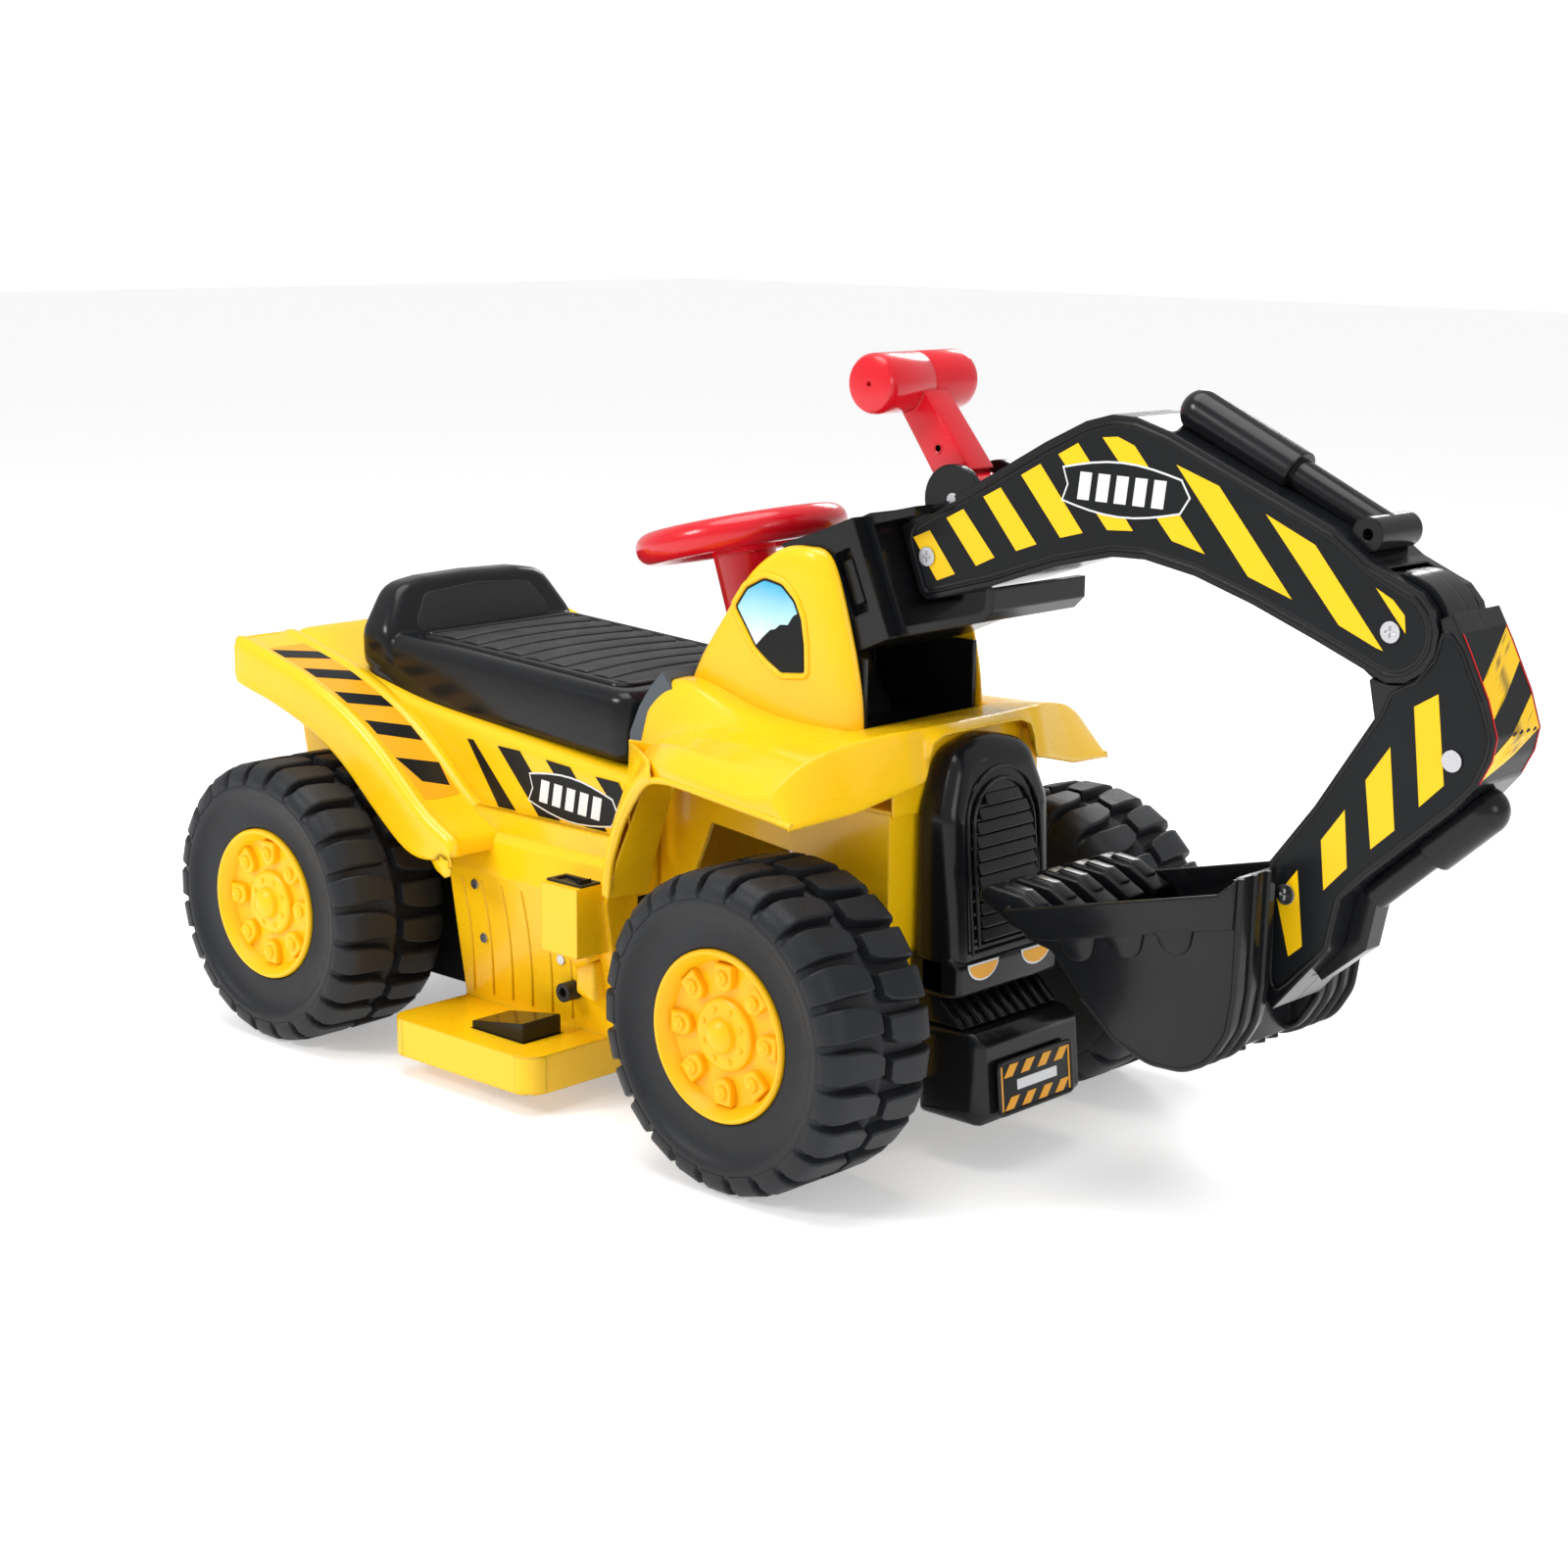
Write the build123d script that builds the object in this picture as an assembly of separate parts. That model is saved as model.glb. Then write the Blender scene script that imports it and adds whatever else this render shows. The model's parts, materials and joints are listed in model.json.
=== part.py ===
from build123d import *
import math
import os

os.makedirs("parts", exist_ok=True)

# Frame: +X is forward, towards the digging arm, +Y is the driver's left, +Z is up, and the origin is
# on the floor under the middle of the toy's overall box. All sizes are in millimetres and degrees.

# ---- driving dimensions ------------------------------------------------------------------------------
overall_length = 880.0
overall_width = 360.0
overall_height = 460.0
wheel_radius = 92.5
wheel_width = 85.6
wheelbase = 411.0
axle_radius = 5.0
running_clearance = 0.05
close_gap = 0.3
wall = 3.0

body_half_width = 90.0
front_half_width = 66.0
seat_half_width = 83.0
fender_half_width = 140.0
pillar_inner = 51.0
pillar_outer = 62.0
grille_half_width = 47.0

boom_half_width = 25.0
stick_half_width = 23.0
drum_half_width = 17.5
bucket_half_width = 62.0
recess_half_width = 28.0
lug_half_width = 10.0
lever_half_width = 11.0
grip_half_length = 40.0
grip_radius = 17.5
pin_radius = 4.0

# ---- places worked out from them ---------------------------------------------------------------------
rear_axle_x = wheel_radius - overall_length / 2
front_axle_x = rear_axle_x + wheelbase
axle_z = wheel_radius
tyre_inner_y = overall_width / 2 - wheel_width
kingpin_y = tyre_inner_y - 14.4
rear_end_x = rear_axle_x - 73.5

boom_pivot = (82.0, 347.0)
stick_pivot = (381.0, 338.0)
bucket_pivot = (327.0, 194.0)
lever_pivot = (97.0, 380.0)
grip_centre = (48.0, overall_height - grip_radius)
crank_radius = 14.0
lobe_radius = 26.0
drum_radius = 29.0

pan_floor_z = 40.0
pan_top_z = 125.0
pan_half_width = 85.0
step_top_z = 38.0


# ---- building blocks ---------------------------------------------------------------------------------
def outline(points, radius=0.0):
    """A closed flat outline through the points, with its corners rounded to the radius."""
    face = make_face(Polyline(*points, close=True))
    return fillet(face.vertices(), radius) if radius else face


def slab(face, y_from, y_to):
    """A side outline, drawn as (x, z), made solid from y_from to y_to."""
    placed = Plane.XZ.offset(-y_to) * face
    return extrude(placed, y_to - y_from, dir=(0, -1, 0))


def section(face, x_from, x_to):
    """A cross section, drawn as (y, z), made solid from x_from to x_to."""
    placed = Plane.YZ.offset(x_from) * face
    return extrude(placed, x_to - x_from, dir=(1, 0, 0))


def layer(face, z_from, z_to):
    """A plan outline, drawn as (x, y), made solid from z_from to z_to."""
    return extrude(Plane.XY.offset(z_from) * face, z_to - z_from, dir=(0, 0, 1))


def block(x_from, x_to, y_from, y_to, z_from, z_to):
    """A box between two corners."""
    centre = Pos((x_from + x_to) / 2, (y_from + y_to) / 2, (z_from + z_to) / 2)
    return centre * Box(x_to - x_from, y_to - y_from, z_to - z_from)


def round_bar(place, radius, y_from, y_to):
    """A round bar across the toy at place (x, z)."""
    centre = Pos(place[0], (y_from + y_to) / 2, place[1])
    return centre * Rot(90, 0, 0) * Cylinder(radius, y_to - y_from)


def post(x, y, radius, z_from, z_to):
    """An upright round bar."""
    return Pos(x, y, (z_from + z_to) / 2) * Cylinder(radius, z_to - z_from)


def inset(face, amount):
    """The outline moved in by the amount, with sharp corners."""
    return offset(face, amount=-amount, kind=Kind.INTERSECTION)


def other_side(shape):
    """The same piece on the toy's other side."""
    return mirror(shape, about=Plane.XZ)


def along(place, direction, distance):
    """The point at a distance from place in a direction given in degrees, in side view."""
    turn = math.radians(direction)
    return (place[0] + distance * math.cos(turn), place[1] + distance * math.sin(turn))


def export(name, *solids):
    """Writes one named piece, or a group of equal loose pieces, as its own file."""
    shape = solids[0] if len(solids) == 1 else Compound(children=list(solids))
    export_step(shape, "parts/" + name + ".step")


# ---- wheels ------------------------------------------------------------------------------------------
lugs_per_side = 24
groove_depth = 7.0
groove_width = 8.0
tread_wall = 3.5
rim_radius = 49.5
dish_floor = 62.0
hex_radius = 13.0
hex_depth = 8.0


def tyre():
    """A blow-moulded wheel, hollow inside, with its inner face at y = 0 and its axis along Y."""
    bore = axle_radius + running_clearance
    skin = [
        (bore, 0), (76, 0), (wheel_radius, 9), (wheel_radius, wheel_width - 9),
        (80, wheel_width), (70, wheel_width - 1.5), (52, wheel_width - 5.5),
        (rim_radius, wheel_width - 5.5), (rim_radius, dish_floor), (bore, dish_floor),
    ]
    hollow_radius = wheel_radius - groove_depth - tread_wall
    inside = [
        (hex_radius + 3, tread_wall + 5), (73, tread_wall + 1), (hollow_radius, 14),
        (hollow_radius, wheel_width - 14), (76, wheel_width - 5.5), (rim_radius + 4, wheel_width - 10),
        (rim_radius + 4, dish_floor - tread_wall), (hex_radius + 3, dish_floor - tread_wall),
    ]
    body = revolve(outline(skin), Axis.Y) - revolve(outline(inside), Axis.Y)
    groove_radius = wheel_radius - groove_depth
    grooves = []
    for index in range(lugs_per_side):
        turn = 360.0 * index / lugs_per_side
        outer = block(groove_radius, 100, 47, 100, -groove_width / 2, groove_width / 2)
        inner = block(groove_radius, 100, -10, 38.6, -groove_width / 2, groove_width / 2)
        grooves.append(Rot(0, turn, 0) * outer)
        grooves.append(Rot(0, turn + 180.0 / lugs_per_side, 0) * inner)
    vent = round_bar((60, 0), 1.5, -1, tread_wall + 6)
    return body - grooves - vent


def hub_cap():
    """The snap-in wheel cover: a rim, a dished floor, eight bolted pads, a centre disc and a dome."""
    edge = rim_radius - 0.2
    lip = wheel_width - 4
    skin = [
        (0, 84.4), (7, 83.6), (10.5, 81), (10.5, 77.5), (20, 77), (22, 72.5), (40, 72.5), (45.5, lip),
        (edge, lip), (edge, 64), (edge - 2.5, 64), (edge - 2.5, 78), (41.5, 70), (20.5, 70),
        (18.5, 74.5), (8, 75), (8, 80), (0, 81.4),
    ]
    cap = revolve(outline(skin), Axis.Y)
    for index in range(8):
        turn = Rot(0, 45.0 * index, 0)
        pad = Pos(32, 74, 0) * Box(13, 4, 13)
        cap = cap + turn * fillet(pad.edges().filter_by(Axis.Y), 3)
        cap = cap + turn * round_bar((32, 0), 4.2, 75, 79)
        cap = cap + turn * Rot(0, 22.5, 0) * round_bar((15.5, 0), 1.6, 76, 78.2)
    return cap


def axle_nut():
    """The push nut that keeps a wheel on its axle, behind the cap."""
    ring = Rot(90, 0, 0) * (Cylinder(10, 5) - Cylinder(axle_radius, 5))
    return Pos(0, dish_floor + close_gap + 2.5, 0) * ring


wheel_shape = tyre()
cap_shape = hub_cap()
nut_shape = axle_nut()
axle_end_y = tyre_inner_y + dish_floor + 7.0
hex_socket = Rot(90, 0, 0) * extrude(RegularPolygon(hex_radius + 0.1, 6), hex_depth, both=True)

for end, axle_x in (("rear", rear_axle_x), ("front", front_axle_x)):
    place = Pos(axle_x, tyre_inner_y, axle_z)
    export(end + "_tyre_left", place * wheel_shape)
    export(end + "_cap_left", place * cap_shape)
    export(end + "_cap_right", other_side(place * cap_shape))
    right_tyre = other_side(place * wheel_shape)
    if end == "rear":
        right_tyre = right_tyre - Pos(axle_x, -tyre_inner_y, axle_z) * hex_socket
    export(end + "_tyre_right", right_tyre)

rear_place = (rear_axle_x, axle_z)
export("rear_axle", round_bar(rear_place, axle_radius, -axle_end_y, axle_end_y))
rear_nut = Pos(rear_axle_x, tyre_inner_y, axle_z) * nut_shape
export("rear_axle_nuts", rear_nut, other_side(rear_nut))


# ---- drive: motor, three gears and their case --------------------------------------------------------
pressure_angle = math.radians(25.0)
backlash = 0.25


def involute(angle):
    return math.tan(angle) - angle


def gear_face(centre, teeth, module, tooth_at):
    """A spur gear's outline with one tooth pointing in the direction tooth_at, in degrees."""
    pitch = module * teeth / 2
    base = pitch * math.cos(pressure_angle)
    tip = pitch + 0.9 * module
    root = pitch - 1.2 * module
    half = math.pi / (2 * teeth) - backlash / (2 * pitch) + involute(pressure_angle)
    start = max(base, root) + 0.01
    radii = [start + (tip - start) * share for share in (0.0, 0.3, 0.65, 1.0)]
    points = []
    for index in range(teeth):
        middle = math.radians(tooth_at) + 2 * math.pi * index / teeth
        flank = [(radius, half - involute(math.acos(base / radius))) for radius in radii]
        tooth = [(root, -half)] + [(radius, -turn) for radius, turn in flank]
        tooth += [(radius, turn) for radius, turn in reversed(flank)] + [(root, half)]
        for radius, turn in tooth:
            angle = middle + turn
            points.append((centre[0] + radius * math.cos(angle), centre[1] + radius * math.sin(angle)))
    return outline(points)


output_teeth, output_module = 44, 1.25
compound_pinion_teeth = 12
compound_teeth, fast_module = 48, 1.0
pinion_teeth = 12
mesh_slack = 0.15
compound_direction = 10.0
pinion_direction = -12.0
output_distance = output_module * (output_teeth + compound_pinion_teeth) / 2 + mesh_slack
pinion_distance = fast_module * (compound_teeth + pinion_teeth) / 2 + mesh_slack
compound_place = along(rear_place, compound_direction, output_distance)
pinion_place = along(compound_place, pinion_direction, pinion_distance)
slow_gear_y = (-75.0, -67.0)
fast_gear_y = (-65.5, -59.0)
case_y = (-79.0, -66.2, -54.0)
spindle_radius = 3.0
shaft_radius = 1.6
motor_radius = 18.0
motor_length = 57.0

output_gear = slab(gear_face(rear_place, output_teeth, output_module, compound_direction), *slow_gear_y)
hex_boss = Rot(90, 0, 0) * extrude(RegularPolygon(hex_radius, 6), tyre_inner_y + hex_depth - 0.6 - 75)
output_gear = output_gear + Pos(rear_axle_x, -75.0, axle_z) * hex_boss
output_gear = output_gear - round_bar(rear_place, axle_radius + running_clearance, -120, 0)
export("output_gear", output_gear)

small_face = gear_face(
    compound_place, compound_pinion_teeth, output_module, compound_direction + 180 + 180 / compound_pinion_teeth
)
large_face = gear_face(compound_place, compound_teeth, fast_module, pinion_direction)
compound_gear = slab(small_face, slow_gear_y[0], fast_gear_y[0]) + slab(large_face, *fast_gear_y)
export("compound_gear", compound_gear - round_bar(compound_place, spindle_radius + running_clearance, -90, -40))
spindle = round_bar(compound_place, spindle_radius, case_y[0] + 1, case_y[2] - 1)

pinion_face = gear_face(pinion_place, pinion_teeth, fast_module, pinion_direction + 180 + 180 / pinion_teeth)
motor_shaft = round_bar(pinion_place, shaft_radius, fast_gear_y[0], case_y[2] + 30)
motor_pinion = slab(pinion_face, *fast_gear_y) + motor_shaft
export("motor_pinion", motor_pinion)

case_x = (rear_axle_x - 34, pinion_place[0] + 14)
case_z = (axle_z - 34, axle_z + 38)
case_skin = 2.5
case = block(*case_x, case_y[0], case_y[2], *case_z)
case = case - block(
    case_x[0] + case_skin, case_x[1] - case_skin, case_y[0] + case_skin, case_y[2] - case_skin,
    case_z[0] + case_skin, case_z[1] - case_skin,
)
case = case - round_bar(rear_place, hex_radius + 1, -90, -70)
case = case - round_bar(rear_place, axle_radius, -90, -40)
case = case - round_bar(compound_place, spindle_radius, -90, -40)
case = case - round_bar(pinion_place, shaft_radius + 1, -90, -40)
split_y = case_y[1]
export("gearbox_case_outer", case & block(-500, 0, -200, split_y, 0, 300))
export("gearbox_case_inner", case & block(-500, 0, split_y, 0, 0, 300))

motor = round_bar(pinion_place, motor_radius, case_y[2], case_y[2] + motor_length)
motor = motor - round_bar(pinion_place, shaft_radius + running_clearance, case_y[2] - 1, case_y[2] + 32)
export("motor", motor)


# ---- chassis pan, battery ----------------------------------------------------------------------------
pan_rear_x = -405.0
pan_step_x = -95.0
pan_front_x = 86.0
pan_front_half = front_half_width - wall - close_gap


def chassis_pan():
    """The tub under the body: deep behind, where the drive is, and a flat tray between the front wheels."""
    rear = block(pan_rear_x, pan_step_x, -pan_half_width, pan_half_width, pan_floor_z, pan_top_z)
    room = block(
        pan_rear_x + wall, pan_step_x - wall, wall - pan_half_width, pan_half_width - wall,
        pan_floor_z + wall, pan_top_z + 1,
    )
    front = block(pan_step_x - wall, pan_front_x, -pan_front_half, pan_front_half, pan_floor_z, 56)
    tray = block(
        pan_step_x, pan_front_x - wall, wall - pan_front_half, pan_front_half - wall, pan_floor_z + wall, 57
    )
    gateway = block(pan_step_x - 2 * wall, pan_step_x + 1, -40, 40, pan_floor_z + wall, pan_top_z + 1)
    axle_hole = round_bar(rear_place, axle_radius, -200, 200)
    boss = round_bar(rear_place, 12, pan_half_width - 12, pan_half_width)
    pan = (rear - room) + (front - tray) - gateway + boss
    return pan - axle_hole - round_bar(rear_place, hex_radius + 1, -100, -70)


export("chassis_pan", chassis_pan())

battery_x = (-228.0, -158.0)
battery_half = 23.5
battery_top_z = 145.0
battery = block(*battery_x, -battery_half, battery_half, pan_floor_z + wall, battery_top_z)
for side in (-1, 1):
    battery = battery + block(-218, -212, side * 12 - 3, side * 12 + 3, battery_top_z, battery_top_z + 5)
export("battery", battery)

strap_out = battery_half + 2
strap_foot_z = pan_floor_z + wall
strap_face = outline(
    [
        (-45, strap_foot_z), (-45, strap_foot_z + 2), (-strap_out, strap_foot_z + 2), (-strap_out, battery_top_z + 2),
        (strap_out, battery_top_z + 2), (strap_out, strap_foot_z + 2), (45, strap_foot_z + 2), (45, strap_foot_z),
        (battery_half, strap_foot_z), (battery_half, battery_top_z), (-battery_half, battery_top_z),
        (-battery_half, strap_foot_z),
    ]
)
export("battery_strap", section(strap_face, -196, -180))


# ---- rear body shell with its fenders ----------------------------------------------------------------
panel_x = (-238.0, -92.0)
step_x = (-238.0, -105.0)


def step_keepout(x_from):
    """The space that the left step panel fills, which the shells above it leave clear."""
    shape = [(80, 0), (80, 165.3), (100.3, 165.3), (100.3, 152.2), (105.3, 147.2), (111.3, 127), (111.3, 0)]
    return section(outline(shape), x_from, panel_x[1] + close_gap)


deck_front_x = -95.0
deck_front_z = 203.0
deck_bend_x = -290.0
deck_bend_z = 222.5
deck_rear_z = 257.0
seat_lines = [(deck_front_x, deck_front_z), (deck_bend_x, deck_bend_z), (-368, 238), (rear_end_x + 4, deck_rear_z)]
fender_front_x = -201.0


def fender_top(drop=0.0):
    """The fender's curved ridge, from the tail down to the step panel."""
    ridge = [(rear_end_x, 257), (-381, 247), (-343, 236), (-304, 220), (-272, 200), (-246, 178)]
    return Spline(*[(x, z - drop) for x, z in ridge])


def fender_slab(low_edge, drop, y_from, y_to):
    """Everything under the ridge down to the low edge."""
    top = fender_top(drop)
    start, end = top @ 0, top @ 1
    rest = Polyline((end.X, end.Y), *low_edge, (start.X, start.Y))
    return slab(make_face(top + rest), y_from, y_to)


def rear_body_shell():
    """The yellow rear body: the deck under the seat, its side walls and the two rear fenders."""
    low_edge = [
        (fender_front_x - 20, 165), (fender_front_x, 160), (fender_front_x, 141), (-232, 136), (-248, 140),
        (-279, 163), (-311, 191), (-344, 206), (-379, 217), (rear_end_x, 226),
    ]
    fender = fender_slab(low_edge, 0, body_half_width - wall, fender_half_width)
    below = [(fender_front_x - wall, 160), (fender_front_x - wall, 90), (rear_end_x + wall, 90)]
    room = slab(
        outline([(rear_end_x + wall, 250), (-381, 244), (-343, 233), (-304, 217), (-272, 197), (-246, 175)] + below),
        body_half_width, fender_half_width - wall,
    )
    side = outline(seat_lines + [(rear_end_x, deck_rear_z), (rear_end_x, 226), (pan_rear_x, pan_top_z),
                                 (deck_front_x, pan_top_z)])
    body = slab(side, -body_half_width, body_half_width)
    keepout = step_keepout(step_x[0] - close_gap)
    hollow = slab(
        outline([(x, z - wall) for x, z in [(deck_front_x - wall, deck_front_z), seat_lines[1], seat_lines[2]]]
                + [(rear_end_x + wall, deck_rear_z - wall), (rear_end_x + wall, 226), (pan_rear_x, 110),
                   (deck_front_x - wall, 110)]),
        wall - body_half_width, body_half_width - wall,
    )
    left = fender - room
    return body + left + other_side(left) - hollow - keepout - other_side(keepout)


export("rear_body_shell", rear_body_shell())


# ---- seat --------------------------------------------------------------------------------------------
seat_outline = outline(
    [
        (-105, deck_front_z + 1.3), (deck_bend_x, deck_bend_z + close_gap), (-360, 236.9), (-361, 286), (-352, 295),
        (-341, 294), (-323, 261), (-300, 257.5), (-115, 247.5), (-105, 240),
    ]
)
seat_room = outline(
    [(-109, 190), (-109, 238), (-116, 243.5), (-300, 253.5), (-326, 257), (-344, 289), (-351, 290), (-357, 284),
     (-357, 190)]
)
seat_body = slab(seat_outline, -seat_half_width, seat_half_width)
seat_body = seat_body - slab(seat_room, 4 - seat_half_width, seat_half_width - 4)
mat = outline([(-118, 246.2), (-118, 270), (-316, 270), (-316, 257)])
seat_body = seat_body - slab(mat, 12 - seat_half_width, seat_half_width - 12)
export("seat", seat_body)


# ---- step panels -------------------------------------------------------------------------------------
step_outer_y = 163.0
step_bottom_z = 14.0
riser_foot = 3.5
pedal_x = (-180.0, -133.0)
pedal_y = (-143.0, -112.0)
switch_block_x = (-128.0, -96.0)
switch_block_y = (-132.0, -100.0)
switch_top_z = 139.0
socket_place = (-131.0, 64.0)


def step_panel():
    """The left side panel with its foot step, a thin moulding that is open towards the chassis."""
    skin = [
        (pan_half_width + close_gap, 165), (100, 165), (100, 152), (105, 147), (111, 127), (104, 80),
        (98, step_top_z + riser_foot), (98, step_top_z),
        (step_outer_y, step_top_z), (step_outer_y, step_bottom_z), (pan_half_width + close_gap, step_bottom_z),
    ]
    tall = section(outline(skin), *step_x)
    corner = tall.edges().filter_by(Axis.Z).group_by(Axis.Y)[-1]
    tall = fillet(corner, 14)
    front_skin = skin[:8] + [(pan_half_width + close_gap, step_top_z)]
    panel = tall + section(outline(front_skin), step_x[1] - wall, panel_x[1])
    room = [
        (80, 162), (97, 162), (97, 151), (102, 146), (108, 127), (101, 80), (95, step_top_z + riser_foot),
        (95, step_top_z - wall),
        (step_outer_y - wall, step_top_z - wall), (step_outer_y - wall, 0), (80, 0),
    ]
    hollow = section(outline(room), step_x[0] + wall, step_x[1] - wall)
    front_room = room[:8] + [(80, step_top_z - wall)]
    hollow = hollow + section(outline(front_room), step_x[1] - wall, panel_x[1] - wall)
    return panel - hollow


screw_places = ((-214.0, 118.0), (-212.0, 82.0), (-140.0, 82.0))
screw_radius = 1.6


def panel_screws():
    """The cross-head screws of the left side panel."""
    heads = []
    for x, z in screw_places:
        face_y = 98 + (z - step_top_z) * 6.0 / 42.0 if z < 80 else 104 + (z - 80) * 7.0 / 47.0
        shank = round_bar((x, z), screw_radius, face_y - 12, face_y)
        heads.append(shank + round_bar((x, z), 3.2, face_y, face_y + 1.2))
    return heads


left_panel = step_panel()
left_screws = panel_screws()
for screw in left_screws:
    left_panel = left_panel - screw
export("step_panel_left", left_panel)
export("panel_screws", *left_screws, *[other_side(one) for one in left_screws])

right_panel = other_side(left_panel)
switch_block = block(*switch_block_x, *switch_block_y, 96, switch_top_z)
switch_room = block(
    switch_block_x[0] + wall, switch_block_x[1] - wall, switch_block_y[0] + wall, -90, 99, switch_top_z - wall
)
switch_hole = block(-126, -98.5, -126, -113, switch_top_z - 10, switch_top_z + 1)
pedal_hole = block(pedal_x[0] - 1, pedal_x[1] + 1.6, pedal_y[0] - 1, pedal_y[1] + 1, 30, 60)
socket_hole = round_bar(socket_place, 6, -130, -80)
right_panel = right_panel + (switch_block - other_side(section(outline(
    [(80, 90), (100, 90), (104, 127), (98, 150), (80, 150)]), -200, -50)))
right_panel = right_panel - switch_room - switch_hole - pedal_hole - socket_hole
pedal_pivot = (pedal_x[0] + 4.0, 32.0)
for lug_y in (pedal_y[0] - 6, pedal_y[1] + 2):
    lug = block(pedal_pivot[0] - 4, pedal_pivot[0] + 4, lug_y, lug_y + 4, 27, step_top_z - wall + 0.5)
    right_panel = right_panel + (lug - round_bar(pedal_pivot, 1.5, -200, 0))
export("step_panel_right", right_panel)

socket = round_bar(socket_place, 6, -112, -92) + round_bar(socket_place, 9, -92, -88)
export("charge_socket", socket - round_bar(socket_place, 3, -113, -98))

bezel = block(-127.5, -97, -127.5, -111.5, switch_top_z, switch_top_z + 1.5)
bezel = bezel + block(-126, -98.5, -126, -113, switch_top_z - 10, switch_top_z + 1)
bezel = bezel - block(-124.5, -100, -124.5, -114.5, switch_top_z - 8, switch_top_z + 3)
rocker_place = (-112.25, switch_top_z - 2.0)
rocker_pin_radius = 0.9
export("switch_bezel", bezel - round_bar(rocker_place, rocker_pin_radius + 0.1, -125.5, -113.5))
rocker = slab(
    outline([
        (-123.0, 139.2), (-112.25, 137.9), (-101.7, 142.6), (-102.0, 136.6), (-112.25, 133.4), (-122.8, 136),
    ]),
    -124.2, -114.8,
)
for low, high in ((-125.3, -124.2), (-114.8, -113.7)):
    rocker = rocker + round_bar(rocker_place, rocker_pin_radius, low, high)
export("rocker_switch", rocker)

pedal = slab(
    outline([
        (pedal_x[0], 29), (pedal_x[0], 42.5), (pedal_x[1] - 1, 50), (pedal_x[1], 48.5), (pedal_x[1], 35), (-165, 29),
    ]),
    *pedal_y,
)
pedal = pedal - round_bar(pedal_pivot, 1.5 + running_clearance, -150, -100)
export("pedal", pedal)
pedal_pin = round_bar(pedal_pivot, 1.5, pedal_y[0] - 6, pedal_y[1] + 6)
pedal_switch = block(-152, -140, -132, -122, 15, 25) + block(-148, -144, -129, -125, 25, 27)
export("pedal_switch", pedal_switch + block(-156, -136, -134, -120, 15, 16.5))


# ---- front shells ------------------------------------------------------------------------------------
well_rear_x = -92.0 + close_gap
well_front_x = 92.0
well_bottom_z = 43.0
well_top_z = 205.0
wall_gap = front_half_width - wall
hood_tip = (88.0, 143.0, 212.0)
dash_half = 80.0


def front_well_shell():
    """The yellow inner walls of the front wheel arches, with a wide window for the axle on each side."""
    outer = block(well_rear_x, well_front_x, -front_half_width, front_half_width, well_bottom_z, well_top_z)
    room = block(
        well_rear_x + wall, well_front_x - wall, wall - front_half_width, front_half_width - wall,
        well_bottom_z - 1, well_top_z + 1,
    )
    window = outline([(-66, 40), (-66, 136), (-48, 178), (47, 168), (47, 140), (83, 140), (83, 40)])
    gateway = block(-100, -80, -50, 50, 30, 170) + block(-100, -80, -wall_gap, wall_gap, 30, 57)
    return outer - room - slab(window, -100, 100) - gateway


export("front_well_shell", front_well_shell())

pillar_outline = outline(
    [
        (62, 240), (61, 262), (55, 292), (46, 322), (38, 341), (24, 349), (-3, 346.5), (-26, 331), (-46, 304),
        (-66, 278), (-80, 255), (-80, 240),
    ]
)
pillar_room = outline(
    [(58.5, 200), (58.5, 262), (52, 291), (43, 321), (35.5, 338.5), (23, 345.5), (-2, 343.5), (-24, 328.5),
     (-43.5, 302), (-63, 277), (-74, 258), (-74, 200)]
)


def hood_wing():
    """One side of the hood: the sloping wing over the wheel, its drooping rear leg and its pillar."""
    top = section(outline([(0, well_top_z + 40), (pillar_outer, 250), (112, 237), (hood_tip[1], 216),
                           (hood_tip[1], 211), (112, 228), (front_half_width, 240), (front_half_width, well_top_z),
                           (0, well_top_z)]), -100, 104)
    plan = outline([(-100, 0), (-100, 126), (-70, 134), (-10, hood_tip[1]), (hood_tip[0], hood_tip[1]), (104, 60),
                    (104, 0)])
    wing = top & layer(plan, 100, 400)
    wing = wing - block(-88, 101, -1, front_half_width - wall, 150, 238) - block(-200, 101, -1, 62, 150, 238)
    leg = outline([(-108, 176), (-92, 133), (-86, 130), (-66, 166), (-56, 184), (-46, 202), (-34, 214), (-20, 221),
                   (-20, 232), (-108, 232)])
    leg_room = outline([(-105, 174), (-90, 133), (-87, 133), (-69, 167), (-59, 186), (-49, 205), (-36, 217),
                        (-30, 219), (-30, 229), (-105, 229)])
    rear_leg = slab(leg, body_half_width + close_gap, 126) - slab(leg_room, 80, 123)
    rear_leg = rear_leg - step_keepout(-300)
    pillar = slab(pillar_outline, pillar_inner, pillar_outer) - slab(pillar_room, pillar_inner + 3, pillar_outer - 3)
    return wing, rear_leg, pillar


wing, rear_leg, pillar = hood_wing()
left_hood = wing + rear_leg + pillar
cockpit = block(-200, 60, -pillar_inner, pillar_inner, 150, 400)
dash_side = outline([(-130, 190), (-130, 262), (-86, 262), (-75.6, 268.6), (-65.6, 256), (-73.6, 235.8), (-92, 190)])
nose = block(well_front_x - close_gap, 140, -grille_half_width - close_gap, grille_half_width + close_gap, 90, 249)
export("hood_shell", left_hood + other_side(left_hood) - cockpit - slab(dash_side, -dash_half - close_gap,
                                                                       dash_half + close_gap) - nose)


# ---- dashboard, grille and bumper --------------------------------------------------------------------
column_lean = 14.0
column_radius = 6.0
wheel_centre = (-88.0, 342.0)


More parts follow.
